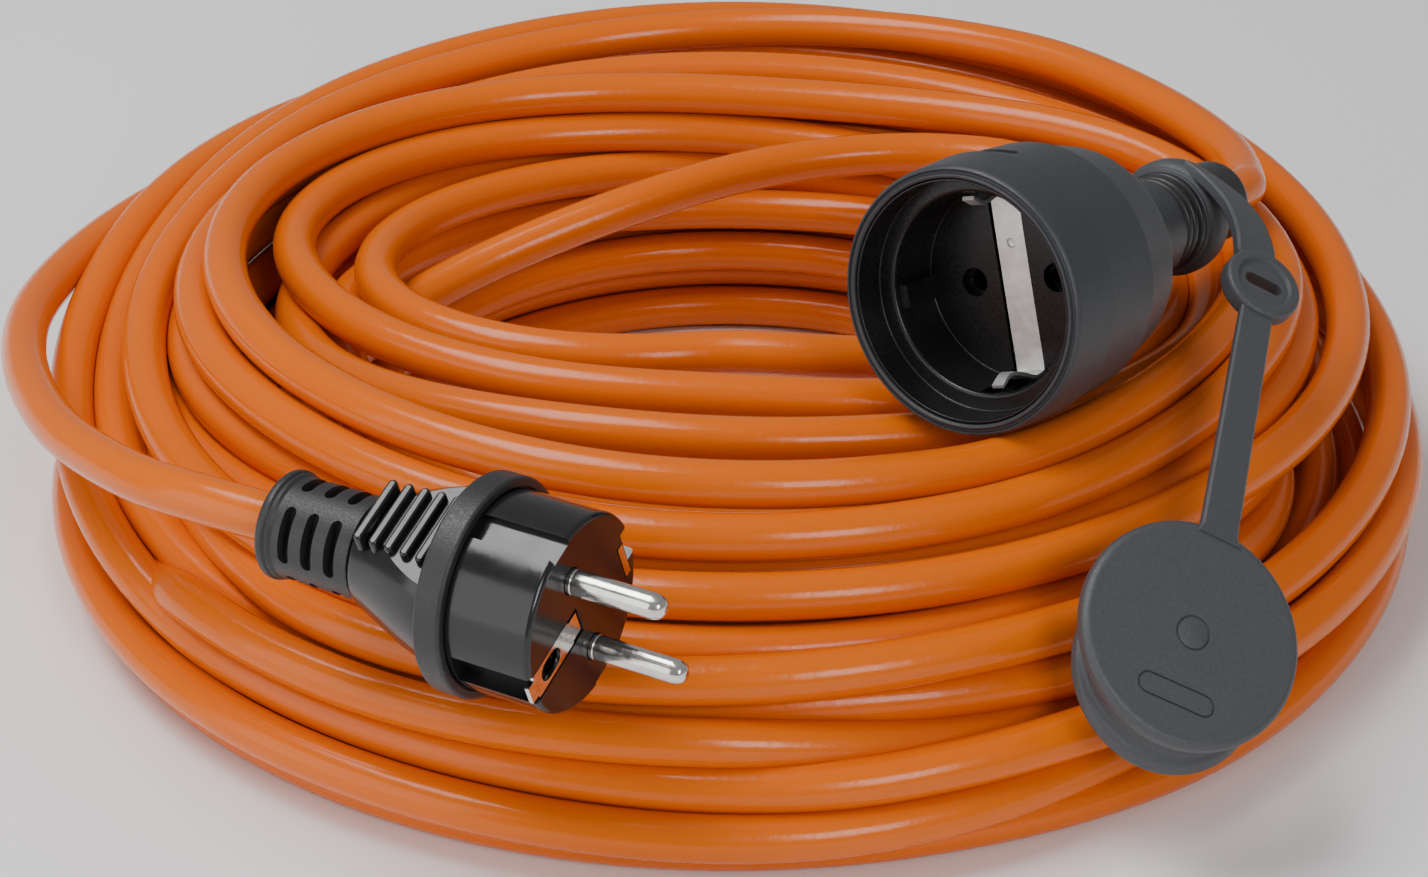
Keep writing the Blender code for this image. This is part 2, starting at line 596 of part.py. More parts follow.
def make_tether_ring(swivel, strap_frame):
    """The neck ring, its web and the slotted eye, moulded as one."""
    half = TETHER_WIDTH / 2
    ring = sleeve("tether_ring", TETHER_BORE_R, TETHER_R, -half, half, grey_rubber(), swivel, 48)
    to_swivel = swivel.matrix_world.inverted() @ strap_frame.matrix_world
    eye = to_swivel @ Vector((0, EYE_R + FLEX_GAP, 0))
    eye_up = (to_swivel.to_3x3() @ Vector((0, 0, 1))).normalized()
    outward = Vector((eye.x, eye.y, 0)).normalized()
    root = outward * (TETHER_R - 0.6 * MM)
    knee = outward * (TETHER_R + 6 * MM) + Vector((0, 0, 2 * MM))
    in_plane = knee - eye - eye_up * (knee - eye).dot(eye_up)
    top = eye + in_plane.normalized() * (EYE_R - 2.6 * MM)
    side = eye_up.cross(eye - knee).normalized()
    web = strip("web", [root, knee, knee.lerp(top, 0.5) + eye_up * MM, top], 6.4 * MM, 2.6 * MM,
                None, None, side)
    join(ring, web)
    disc = turned("eye", [(0, -EYE_T / 2), (EYE_R, -EYE_T / 2), (EYE_R, EYE_T / 2),
                          (0, EYE_T / 2)], None, None, 32)
    disc.data.transform(to_swivel @ Matrix.Translation((0, EYE_R + FLEX_GAP, 0)))
    join(ring, disc)
    bore_r = TETHER_BORE_R + 0.05 * MM
    cut(ring, turned("cut_bore", [(0, -2 * half), (bore_r, -2 * half), (bore_r, 2 * half),
                                  (0, 2 * half)], None, None, 48))
    slot = block("cut_slot", (-SLOT_LENGTH / 2, -SLOT_WIDTH / 2, -EYE_T),
                 (SLOT_LENGTH / 2, SLOT_WIDTH / 2, EYE_T * 2))
    slot.data.transform(to_swivel @ Matrix.Translation((0, EYE_R + FLEX_GAP, 0)))
    cut(ring, slot)


def make_cap(cap_frame):
    """A disc with a hollow skirt behind it and a sealing lip on the skirt's end."""
    front = CAP_DISC_T / 2
    back = front - CAP_HEIGHT
    lip = 2.4 * MM
    place = (0, -CAP_R - FLEX_GAP, 0)
    turned("cap", [
        (0, front), (CAP_R - 1.2 * MM, front), (CAP_R, front - 1.0 * MM),
        (CAP_R, front - CAP_DISC_T), (CAP_R - 3.2 * MM, front - CAP_DISC_T - 0.8 * MM),
        (CAP_R - 3.2 * MM, back + lip + 0.6 * MM), (CAP_R - 0.4 * MM, back + lip),
        (CAP_R - 0.4 * MM, back + 0.5 * MM), (CAP_R - 0.9 * MM, back),
        (CAP_R - 3.2 * MM - CAP_WALL, back), (CAP_R - 3.2 * MM - CAP_WALL, front - 3 * MM),
        (0, front - 3 * MM),
    ], grey_rubber(), cap_frame, 56, place)


def main():
    clear_scene()
    whole = empty("cord_frame", Matrix.Translation(COIL_CENTRE))
    make_cord(whole)
    make_plug(whole)
    make_coupler(whole)
    make_tether(whole)


main()
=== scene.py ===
"""How the extension cord looks: one long orange cord wound loosely into a coil, its
plug and coupler as finished mouldings, their materials, and the studio they stand in.

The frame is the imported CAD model's: metres, with Z up. Sizes of mouldings are in mm in
their own frames, and MM turns them into metres.
"""
import math

import bmesh
import bpy
import numpy as np
from mathutils import Matrix, Vector


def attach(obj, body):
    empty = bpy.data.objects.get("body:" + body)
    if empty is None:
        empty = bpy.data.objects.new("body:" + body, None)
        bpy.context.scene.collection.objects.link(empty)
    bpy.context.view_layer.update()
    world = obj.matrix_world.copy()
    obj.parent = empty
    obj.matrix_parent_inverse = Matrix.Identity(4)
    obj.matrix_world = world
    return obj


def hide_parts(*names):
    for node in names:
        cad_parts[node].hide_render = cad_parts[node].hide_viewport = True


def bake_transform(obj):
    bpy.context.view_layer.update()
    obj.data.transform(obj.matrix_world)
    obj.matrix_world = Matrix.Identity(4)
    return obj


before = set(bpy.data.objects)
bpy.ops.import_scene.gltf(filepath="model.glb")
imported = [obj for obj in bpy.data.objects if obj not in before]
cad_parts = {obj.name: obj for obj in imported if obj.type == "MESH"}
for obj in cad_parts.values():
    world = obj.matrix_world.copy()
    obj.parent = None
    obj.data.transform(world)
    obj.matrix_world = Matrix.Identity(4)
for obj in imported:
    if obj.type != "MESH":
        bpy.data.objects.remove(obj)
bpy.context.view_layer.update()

MM = 0.001
TINY = 1e-9

COIL_CENTRE = np.array((-0.0048, 0.0067, 0.0))
VIEW_TURN = 32.4                     # degrees from +X round to the camera's right

# --- the cord -------------------------------------------------------------------------
CORD_D = 9.4 * MM
CORD_CLEARANCE = 0.4 * MM            # kept between the cord and the mouldings
STATIONS = 36                        # points worked out in each turn
STATION_STEP = 360 / STATIONS        # degrees
FINE_STEPS = 4                       # points drawn for each one worked out
SETTLING_ROUNDS = 420

# How firmly each given place holds the cord. A station between two of them counts as held
# above HELD_FROM, and as shown above SHOWN_FROM.
HELD = 1.0
SHOWN = 0.35
BURIED = 0.03
HELD_FROM = 0.7
SHOWN_FROM = 0.2

# What happens in each round of settling.
GAP = 1.01                           # cord widths kept between turns
PULL = 0.5                           # share of the way back to the given route, at the start
SHOWN_PULL = 0.3                     # a shown station's share of PULL; a buried one has BURIED
PULL_FADES = 0.9                     # share of the pull that is gone at the end
SMOOTHING = 0.35
SHOWN_GIVES = 0.5                    # how readily a shown station is pushed aside
SINKING = 0.05 * MM                  # how far the buried turns sink in the first round
FAR_AWAY = 9.0                       # metres; where the table of turns has no cord
END_GAPS = (3, 4)                    # degrees left open before the given free ends

# The turns that show, from the first wound to the last. Each is a list of
# (degrees anticlockwise from the camera's right, radius in mm, height in mm).
FIRST_TURN = [
    (65, 129, 60), (90, 129, 56), (110, 125, 55), (130, 123, 53), (150, 123, 50),
    (165, 122, 46), (185, 118, 40), (225, 116, 38), (270, 120, 38), (315, 122, 38),
    (345, 124, 36),
]
INNER_TURNS = [
    # the loose diagonal across the hole
    [(0, 118, 42), (25, 110, 48), (50, 84, 52), (78, 52, 53), (110, 42, 51), (137, 46, 47),
     (153, 58, 41), (166, 78, 34), (195, 92, 30), (270, 84, 30), (330, 92, 36)],
    # the innermost loop
    [(0, 104, 40), (45, 94, 39), (90, 84, 40), (111, 80, 41), (139, 79, 45), (169, 82, 50),
     (182, 78, 52), (193, 68, 52), (206, 50, 51), (224, 34, 50), (262, 22, 49), (300, 26, 51),
     (327, 42, 50), (345, 72, 47)],
    [(0, 100, 46), (45, 90, 47), (90, 80, 48), (110, 85, 49), (130, 96, 50), (143, 107, 50),
     (153, 109, 50), (163, 105, 51), (174, 97, 52), (192, 79, 53), (211, 63, 53),
     (242, 49, 53), (270, 45, 53), (300, 51, 52), (330, 84, 51)],
    [(0, 110, 50), (45, 98, 47), (90, 90, 46), (135, 98, 43), (170, 92, 44), (200, 88, 48),
     (227, 73, 54), (252, 67, 56), (270, 69, 56), (300, 72, 54), (330, 96, 52)],
]
UPPER_TURNS = [
    [(0, 116, 49), (45, 104, 47), (90, 90, 48), (128, 106, 49), (150, 119, 49), (180, 113, 50),
     (200, 107, 52), (225, 103, 53), (270, 107, 54), (307, 108, 52), (330, 109, 50),
     (350, 118, 48)],
    # the high loop that crosses in front of the coupler
    [(5, 123, 51), (22, 120, 55), (41, 99, 57), (67, 82, 57), (90, 80, 57), (109, 87, 57),
     (128, 98, 57), (140, 106, 57), (150, 112, 57), (159, 113, 58), (179, 106, 59),
     (193, 101, 60), (209, 98, 61), (224, 96, 62), (257, 99, 63), (290, 101, 62),
     (322, 102, 59), (338, 106, 56), (352, 114, 55)],
    [(5, 122, 51), (20, 124, 48), (35, 118, 47), (60, 100, 46), (90, 98, 47), (128, 110, 46),
     (150, 121, 45), (165, 122, 44), (180, 120, 42), (200, 112, 44), (225, 106, 46),
     (270, 105, 46), (300, 107, 47), (318, 110, 46), (345, 121, 44)],
    [(0, 130, 44), (30, 128, 47), (50, 116, 52), (70, 106, 55), (90, 103, 56), (110, 108, 55),
     (128, 114, 50), (150, 124, 42), (180, 122, 34), (225, 112, 42), (270, 115, 48),
     (315, 118, 42), (345, 128, 40)],
]
OUTER_TURNS = [
    [(0, 140, 38), (18, 146, 44), (30, 146, 48), (52, 143, 52), (77, 145, 53), (90, 144, 53),
     (112, 138, 53), (122, 135, 53), (146, 131, 52), (164, 129, 46), (173, 130, 42),
     (187, 129, 31), (225, 125, 24), (270, 128, 29), (315, 134, 28), (345, 142, 27)],
    [(0, 152, 27), (25, 149, 35), (48, 146, 42), (70, 144, 44), (90, 142, 44), (120, 143, 45),
     (138, 142, 48), (152, 137, 48), (167, 137, 44), (180, 136, 40), (200, 134, 28),
     (225, 130, 15), (270, 136, 21), (315, 141, 20), (345, 149, 19)],
]
LAST_TURN = [(0, 151, 20), (45, 149, 24), (90, 146, 30), (120, 148, 35)]

# The buried turns, in the order that they are wound: (layer, turns in it).
LAYERS = [(4, 2), (2, 5), (0, 7), (1, 6), (3, 4)]
LOWEST_LAYER = 4.7                   # mm
LAYER_STEP = 8.3                     # mm
STAGGER = 0.35                       # how far every other layer is shifted, in turns
LAYER_TAPER = 7                      # mm that each layer above the third is drawn in
WANDER = 1.8                         # mm that a turn sways in and out
PHASE_STEP = 2.4                     # radians between the sways of neighbouring turns
# The bundle's radii in mm, every 45 degrees.
BUNDLE_STEP = 45
BUNDLE_OUTER = [152, 148, 145, 141, 137, 135, 141, 143]
BUNDLE_INNER = [88, 84, 80, 80, 82, 76, 66, 76]

# The free ends, about the coil's centre, as in the CAD model.
COUPLER_END = [
    (0.0862, 0.0358, 0.0749), (0.0890, 0.0673, 0.0696), (0.0830, 0.0860, 0.0655),
    (0.0680, 0.1020, 0.0636), (0.0470, 0.1140, 0.0632), (0.0240, 0.1215, 0.0631),
]
PLUG_END = [
    (-0.1460, 0.0150, 0.0370), (-0.1450, -0.0180, 0.0390), (-0.1370, -0.0520, 0.0420),
    (-0.1210, -0.0835, 0.0460), (-0.0960, -0.1095, 0.0510), (-0.0680, -0.1290, 0.0562),
    (-0.0410, -0.1400, 0.0612), (-0.0230, -0.1425, 0.0636), (-0.0059, -0.1415, 0.0640),
]
INSIDE_PLUG_SLEEVE = (0.0101, -0.1406, 0.0640)

# What the cord has to lie clear of: (start, end, radius at start, radius at end) in mm,
# about the coil's centre.
OBSTACLES = [
    ((60, -137.5, 64), (42.5, -138.6, 64), 18.5, 18.5),
    ((42.5, -138.6, 64), (37, -138.9, 64), 20.8, 20.8),
    ((37, -138.9, 64), (17, -140.1, 64), 17.4, 11.2),
    ((17, -140.1, 64), (-5, -141.5, 64), 10.8, 10.8),
    ((60, -141.2, 73), (80, -140, 73), 3.5, 3.5),
    ((60, -133.8, 55), (80, -132.6, 55), 3.5, 3.5),
    ((79.7, -38.8, 87.4), (80.8, -26.0, 85.3), 26.4, 27.1),
    ((80.8, -26.0, 85.3), (82.3, -9.3, 82.4), 27.1, 25.9),
    ((82.3, -9.3, 82.4), (83.4, 3.4, 80.3), 25.9, 22.7),
    ((83.4, 3.4, 80.3), (84.2, 12.3, 78.8), 22.7, 13.9),
    ((84.2, 12.3, 78.8), (85.6, 29.0, 76.0), 13.9, 10.9),
    ((85.6, 29.0, 76.0), (88.3, 59.5, 70.9), 10.7, 9.0),
    ((86.3, 37.0, 74.7), (87.1, 45.5, 73.2), 13.8, 13.8),
]
# The cap: its centre, the way it faces, its radius, and its front and back along that way.
CAP_OBSTACLE = ((143.5, -62.5, 48.0), (0.600, -0.340, 0.724), 22.2, 1.5, -10.5)
CAP_SIDE_SHARE = 0.3                 # share of the clearance that is kept beside the cap

# --- the moulded ends: places about the coil's centre in metres, sizes in mm ----------
PLUG_FACE = (0.0600, -0.1375, 0.0640)
PLUG_AXIS = (0.998, 0.061, 0)
PLUG_ROLL = 22
COUPLER_RIM = (0.0797, -0.0388, 0.0874)
COUPLER_AXIS = (-0.08596, -0.98253, 0.16505)
COUPLER_ROLL = -70.6
CORD_BORE = 5.4                      # radius of the hole that the cord goes in by
PIN_OFFSET = 9.5                     # from the middle to each pin and contact hole
WELL_R = 19.8
WELL_DEPTH = 20.5
STRIP_FLOOR = -21.4
# Small notches in the housing: (degrees round, place along, radius of the floor).
NOTCHES = ((84, -17, 24.3), (-96, -17, 24.3))

TETHER_AT = 81.5                     # from the coupler's rim to the band's middle
EYE_CENTRE = Vector((0.1190, 0.0140, 0.0785))
EYE_R = 8.2
# The web from the band to the eye: (outward, upward, towards the mouth).
WEB_ROUTE = [
    (3.5, 11.2, 0), (9, 9.6, 0.8), (14, 8.2, 2.6), (19.5, 6.4, 6.0), (25, 4.0, 11.5),
    (28.6, 1.8, 16.4),
]
CAP_CENTRE = Vector((0.1435, -0.0625, 0.0480))
CAP_NORMAL = Vector((0.600, -0.340, 0.724)).normalized()
CAP_TO_STRAP = Vector((-0.180, 0.835, 0.520)).normalized()
CAP_R = 22.0
CAP_DISC_T = 3.0
CAP_HEIGHT = 13.4
CAP_NECK = 4.2                       # from the cap's front to where its skirt begins
SKIRT_SLIP = (1.8, -4.6)             # how far the skirt's free edge has slipped over
FLEX_GAP = 1.1                       # from the eye and from the cap to the rubber's bend
RIBBON_STEPS = 8
# The outline of a flat strip, in shares of its half width and half thickness.
RIBBON_OUTLINE = (
    (-1, -0.6), (-0.88, -1), (0.88, -1), (1, -0.6), (1, 0.6), (0.88, 1), (-0.88, 1), (-1, 0.6),
)

# --- how meshes are made --------------------------------------------------------------
CORNER_STEPS = 4
ON_AXIS = 1e-6                       # a smaller radius in mm is the axis itself
BEVEL_ANGLE = 30
SHARP_ANGLE = 40
STRAP_SHARP_ANGLE = 30
NOISE_RANGE = (0.35, 0.65)           # the part of a noise's values that materials use

WIRE_COLOURS = {
    "brown": (0.14, 0.05, 0.02), "blue": (0.02, 0.10, 0.45), "green_yellow": (0.30, 0.50, 0.03),
}

# --- the studio and the camera --------------------------------------------------------
FLOOR_SIZE = 4
WORLD_STRENGTH = 0.30
# (name, place and aim about the coil's centre, width, height, watts)
SOFTBOXES = [
    ("key", (-0.35, -0.25, 1.1), (0, 0, 0), 0.8, 0.5, 11),
    ("front", (0.9, -0.7, 0.65), (0, 0, 0), 0.35, 0.5, 5),
    ("left", (-0.42, -0.93, 0.31), PLUG_FACE, 0.8, 0.8, 3.6),
]
CAMERA_LENS = 87.05                  # mm, on a sensor SENSOR_WIDTH mm wide
SENSOR_WIDTH = 36
CAMERA_DISTANCE = 0.760
TOWARDS_CAMERA = Vector((0.4640, -0.7311, 0.5))
AIM_HEIGHT = 14 * MM


# --- how the cord lies ----------------------------------------------------------------
def polar(point):
    """Degrees from the camera's right, radius and height of a point about the coil's centre."""
    x, y, z = point
    angle = (math.degrees(math.atan2(y, x)) - VIEW_TURN) % 360
    return angle, math.hypot(x, y), z


def around(values, degrees):
    """A value given every so many degrees, smoothed between."""
    place = (degrees % 360) / 360 * len(values)
    low = int(place) % len(values)
    part = place - int(place)
    part = part * part * (3 - 2 * part)
    return values[low] * (1 - part) + values[(low + 1) % len(values)] * part


def buried_turn(layer, place, count, phase):
    """One of the count turns in a layer: place runs from the inside of the bundle outwards."""
    shift = STAGGER * (layer % 2)
    share = (place + shift) / (count - 1 + STAGGER + shift)
    turn = []
    for degrees in range(0, 360, BUNDLE_STEP):
        inner = around(BUNDLE_INNER, degrees)
        outer = around(BUNDLE_OUTER, degrees) - LAYER_TAPER * max(0, layer - 2)
        wander = WANDER * math.sin(math.radians(2 * degrees) + phase)
        radius = inner + (outer - inner) * share + wander
        turn.append((degrees, radius, LOWEST_LAYER + LAYER_STEP * layer))
    return turn


def buried_turns():
    """Every buried turn, wound outwards in one layer and inwards in the next."""
    turns = []
    for layer, count in LAYERS:
        places = range(count) if len(turns) % 2 else reversed(range(count))
        turns += [buried_turn(layer, k, count, PHASE_STEP * k + layer) for k in places]
    return turns


def wound_route():
    """Every given place along the cord, as (degrees, radius, height, how firmly it is held)."""
    route = []
    for point in COUPLER_END:
        angle, radius, height = polar(point)
        route.append((angle - 360 if angle > 180 else angle, radius, height, HELD))
    turns = [(FIRST_TURN, SHOWN)]
    turns += [(turn, BURIED) for turn in buried_turns()]
    turns += [(turn, SHOWN) for turn in INNER_TURNS + UPPER_TURNS + OUTER_TURNS + [LAST_TURN]]
    for number, (turn, hold) in enumerate(turns):
        route += [(360 * number + a, r * MM, z * MM, hold) for a, r, z in turn]
    for point in PLUG_END:
        angle, radius, height = polar(point)
        route.append((360 * number + angle, radius, height, HELD))
    return np.array(route)


def smooth_through(x, y, at):
    """A smooth curve through (x, y) that doesn't swing past its points, read at these places."""
    step = np.diff(x)
    slope = np.diff(y) / step
    same = slope[:-1] * slope[1:] > 0
    total = np.where(same, slope[:-1] + slope[1:], 1)
    steady = np.where(same, 2 * slope[:-1] * slope[1:] / total, 0)
    middle = (y[2:] - y[:-2]) / (x[2:] - x[:-2])
    tangent = np.concatenate(([slope[0]], (steady + middle) / 2, [slope[-1]]))
    i = np.clip(np.searchsorted(x, at) - 1, 0, len(step) - 1)
    t = (at - x[i]) / step[i]
    return ((2 * t ** 3 - 3 * t ** 2 + 1) * y[i] + (t ** 3 - 2 * t ** 2 + t) * step[i] * tangent[i]
            + (3 * t ** 2 - 2 * t ** 3) * y[i + 1] + (t ** 3 - t ** 2) * step[i] * tangent[i + 1])


def places(angle, radius, height):
    """Points about the coil's centre from degrees, radii and heights."""
    turn = np.radians(angle + VIEW_TURN)
    return np.stack([radius * np.cos(turn), radius * np.sin(turn), height], axis=-1)


def push_clear(points, start, end, r0, r1):
    """How far each point has to move to leave a tapered cylinder by half the cord's thickness."""
    start, end = np.array(start) * MM, np.array(end) * MM
    axis = end - start
    length = np.linalg.norm(axis)
    axis = axis / length
    along = (points - start) @ axis
    foot = start + np.clip(along, 0, length)[:, None] * axis
    away = points - foot
    distance = np.linalg.norm(away, axis=1) + TINY
    radius = (r0 + (r1 - r0) * np.clip(along / length, 0, 1)) * MM
    radius += CORD_D / 2 + CORD_CLEARANCE
    inside = (along > -CORD_D / 2) & (along < length + CORD_D / 2) & (distance < radius)
    depth = np.where(inside, radius - distance, 0)
    return away / distance[:, None] * depth[:, None]


def push_off_cap(points):
    """How far each point has to move to lie behind the cap."""
    centre, normal, radius, front, back = CAP_OBSTACLE
    centre, normal = np.array(centre) * MM, np.array(normal)
    normal = normal / np.linalg.norm(normal)
    along = (points - centre) @ normal
    out = points - centre - along[:, None] * normal
    clear = CORD_D / 2 + CORD_CLEARANCE
    under = np.linalg.norm(out, axis=1) < radius * MM + CAP_SIDE_SHARE * clear
    inside = under & (along < front * MM + clear) & (along > back * MM - clear)
    depth = np.where(inside, along - (back * MM - clear), 0)
    return -normal * depth[:, None]


def push_apart(table, pairs, share):
    """Move turns that lie in each other apart, station by station."""
    first, second = pairs
    gap = table[:, first] - table[:, second]
    distance = np.hypot(*gap) + TINY
    push = gap / distance * np.clip(CORD_D * GAP - distance, 0, None) * 0.5
    move = np.zeros_like(table)
    for k in (0, 1):
        np.add.at(move[k], first, push[k] * share)
        np.add.at(move[k], second, -push[k] * (1 - share))
    return move


def settle():
    """Lay the cord: follow the given route, and push turns apart until none lie in each other."""
    route = wound_route()
    start = math.ceil(route[0, 0] / STATION_STEP) * STATION_STEP
    angle = np.arange(start, route[-1, 0], STATION_STEP)
    target = np.stack([smooth_through(route[:, 0], route[:, k], angle) for k in (1, 2)])
    hold = np.interp(angle, route[:, 0], route[:, 3])
    held = hold > HELD_FROM
    shown = (hold > SHOWN_FROM) & ~held
    buried = ~held & ~shown
    pull = np.select([held, shown], [HELD, SHOWN_PULL], BURIED)
    # The turns stand in a table with a row for each turn and a column for each station.
    # What it holds beyond the cord's ends is put far out of the way.
    turns = -(-len(angle) // STATIONS)
    grid = np.full((2, turns * STATIONS), FAR_AWAY)
    grid[0] += np.arange(turns * STATIONS)
    laid = slice(0, len(angle))
    grid[:, laid] = target
    mobile = np.ones(turns * STATIONS)
    mobile[laid] = np.select([held, shown], [0.0, SHOWN_GIVES], 1.0)
    mobile = mobile.reshape(turns, STATIONS)
    pairs = np.triu_indices(turns, 1)
    share = mobile[pairs[0]] / (mobile[pairs[0]] + mobile[pairs[1]] + TINY)
    outward = places(angle, np.ones_like(angle), np.zeros_like(angle))
    for n in range(SETTLING_ROUNDS):
        late = n / SETTLING_ROUNDS
        grid += push_apart(grid.reshape(2, turns, STATIONS), pairs, share).reshape(2, -1)
        cord = grid[:, laid]
        smooth = cord.copy()
        smooth[:, 1:-1] = (cord[:, :-2] + 2 * cord[:, 1:-1] + cord[:, 2:]) / 4
        cord += (smooth - cord) * np.where(held, 0, SMOOTHING)
        cord += (target - cord) * np.where(held, 1, pull * PULL * (1 - PULL_FADES * late))
        points = places(angle, *cord)
        shift = push_off_cap(points)
        for obstacle in OBSTACLES:
            shift += push_clear(points, *obstacle)
        cord[0] += np.where(held, 0, (shift * outward).sum(axis=1))
        cord[1] += np.where(held, 0, shift[:, 2])
        cord[1] -= np.where(buried, SINKING * (1 - late), 0)
        cord[1] = np.maximum(cord[1], CORD_D / 2)
        grid[:, laid] = cord
    return angle, grid[0, laid], grid[1, laid]


def cord_points():
    """The whole cord about the coil's centre, from inside the coupler's neck to the plug."""
    angle, radius, height = settle()
    wound = places(angle, radius, height)
    leaves_neck = polar(COUPLER_END[1])[0]
    reaches_plug = angle[-1] // 360 * 360 + polar(PLUG_END[-3])[0]
    wound = wound[(angle > leaves_neck + END_GAPS[0]) & (angle < reaches_plug - END_GAPS[1])]
    return np.vstack([COUPLER_END[:2], wound, PLUG_END[-3:], [INSIDE_PLUG_SLEEVE]])


# --- meshes ---------------------------------------------------------------------------
def frame_matrix(origin, axis, roll):
    """Local Z along axis; local X is roll degrees round from the upright direction."""
    z = Vector(axis).normalized()
    up = (Vector((0, 0, 1)) - z * z.z).normalized()
    side = z.cross(up)
    x = up * math.cos(math.radians(roll)) + side * math.sin(math.radians(roll))
    return axes_matrix(origin, x, z)


def axes_matrix(origin, x, z):
    """The frame with these axes at a place about the coil's centre."""
    y = z.cross(x)
    turn = Matrix((x, y, z)).transposed().to_4x4()
    return Matrix.Translation(Vector(COIL_CENTRE) + Vector(origin)) @ turn


def smooth_line(points, steps):
    """A Catmull-Rom curve through the points, in so many steps between each two."""
    ends = np.vstack([2 * points[0] - points[1], points, 2 * points[-1] - points[-2]])
    a, b, c, d = ends[:-3], ends[1:-2], ends[2:-1], ends[3:]
    line = []
    for k in range(steps):
        t = k / steps
        line.append(0.5 * (2 * b + (c - a) * t + (2 * a - 5 * b + 4 * c - d) * t * t
                           + (3 * b - a - 3 * c + d) * t ** 3))
    line = np.stack(line, axis=1).reshape(-1, 3)
    return np.vstack([line, points[-1]])


def rounded(corners):
    """A profile whose corners (radius, z, rounding) are turned into small arcs."""
    line = []
    count = len(corners)
    for i, (r, z, rounding) in enumerate(corners):
        here = Vector((r, z))
        if rounding == 0:
            line.append(here)
            continue
        before = Vector(corners[i - 1][:2]) - here
        after = Vector(corners[(i + 1) % count][:2]) - here
        start = here + before.normalized() * min(rounding, before.length * 0.48)
        end = here + after.normalized() * min(rounding, after.length * 0.48)
        for k in range(CORNER_STEPS + 1):
            t = k / CORNER_STEPS
            line.append(start * (1 - t) ** 2 + here * 2 * t * (1 - t) + end * t * t)
    return line


def turned(name, corners, sides=128, place=(0, 0, 0)):
    """A turned mesh from a closed profile in mm, with its corners rounded."""
    bm = bmesh.new()
    rings = []
    for r, z in rounded(corners):
        if r < ON_AXIS:
            rings.append([bm.verts.new((0, 0, z * MM))])
            continue
        turn = 2 * math.pi / sides
        rings.append([bm.verts.new((r * MM * math.cos((i + 0.5) * turn),
                                    r * MM * math.sin((i + 0.5) * turn), z * MM))
                      for i in range(sides)])
    closed = len(rings[0]) > 1
    for low, high in zip(rings, rings[1:] + ([rings[0]] if closed else [])):
        skin(bm, low, high)
    bmesh.ops.translate(bm, verts=bm.verts, vec=Vector(place) * MM)
    return mesh_object(name, bm)


def skin(bm, low, high):
    """Join two rings of vertices; either may be a single vertex."""
    sides = max(len(low), len(high))
    if sides == 1:
        return
    for i in range(sides):
        j = (i + 1) % sides
        if len(low) == 1:
            bm.faces.new((low[0], high[i], high[j]))
        elif len(high) == 1:
            bm.faces.new((low[i], low[j], high[0]))
        else:
            bm.faces.new((low[i], low[j], high[j], high[i]))


def mesh_object(name, bm):
    """The built mesh as an object in the scene."""
    bmesh.ops.recalc_face_normals(bm, faces=bm.faces)
    mesh = bpy.data.meshes.new(name)
    bm.to_mesh(mesh)
    bm.free()
    obj = bpy.data.objects.new(name, mesh)
    bpy.context.scene.collection.objects.link(obj)
    return obj


def box(name, low, high):
    """A block between two corners in mm."""
    bm = bmesh.new()
    bmesh.ops.create_cube(bm, size=1)
    size = (Vector(high) - Vector(low)) * MM
    bmesh.ops.scale(bm, verts=bm.verts, vec=size)
    bmesh.ops.translate(bm, verts=bm.verts, vec=(Vector(high) + Vector(low)) * MM / 2)
    return mesh_object(name, bm)


def pill(name, length, width, low, high, sides=14):
    """An upright bar with round ends: its length lies along X."""
    bm = bmesh.new()
    straight = (length - width) / 2
    outline = []
    for end, start in ((1, -90), (-1, 90)):
        for k in range(sides + 1):
            angle = math.radians(start + 180 * k / sides)
            outline.append((end * straight + width / 2 * math.cos(angle),
                            width / 2 * math.sin(angle)))
    rings = [[bm.verts.new((x * MM, y * MM, z * MM)) for x, y in outline] for z in (low, high)]
    skin(bm, *rings)
    bm.faces.new(rings[0])
    bm.faces.new(rings[1])
    return mesh_object(name, bm)


def on_barrel(turn, z, lean=90):
    """Turn an upright pill to point out of a barrel, its length along the way round."""
    return (Matrix.Rotation(math.radians(turn), 4, "Z")
            @ Matrix.Translation((0, 0, z * MM))
            @ Matrix.Rotation(math.radians(lean), 4, "Y")
            @ Matrix.Rotation(math.radians(90), 4, "Z"))


def span(side, inner, outer):
    """From inner to outer on one side of the middle, lowest first."""
    return sorted((side * inner, side * outer))


def bake(obj, tools=(), operation="DIFFERENCE", bevel=0.0, segments=2):
    """Apply booleans and a bevel, and remove the tools."""
    for tool in tools:
        step = obj.modifiers.new("tool", "BOOLEAN")
        step.operation = operation
        step.solver = "EXACT"
        step.object = tool
    if bevel:
        edge = obj.modifiers.new("bevel", "BEVEL")
        edge.width = bevel * MM
        edge.segments = segments
        edge.limit_method = "ANGLE"
        edge.angle_limit = math.radians(BEVEL_ANGLE)
        edge.use_clamp_overlap = True
    graph = bpy.context.evaluated_depsgraph_get()
    mesh = bpy.data.meshes.new_from_object(obj.evaluated_get(graph))
    obj.modifiers.clear()
    old = obj.data
    obj.data = mesh
    bpy.data.meshes.remove(old)
    for tool in tools:
        bpy.data.objects.remove(tool, do_unlink=True)


def finished(obj, matrix, mat, body, replaced=()):
    """Shade, colour and place a piece, and hang it on its body."""
    obj.data.materials.clear()
    obj.data.materials.append(mat)
    obj.data.shade_smooth()
    obj.data.set_sharp_from_angle(angle=math.radians(SHARP_ANGLE))
    normals = obj.modifiers.new("normals", "WEIGHTED_NORMAL")
    normals.keep_sharp = True
    obj.matrix_world = matrix
    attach(obj, body)
    if replaced:
        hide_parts(*replaced)


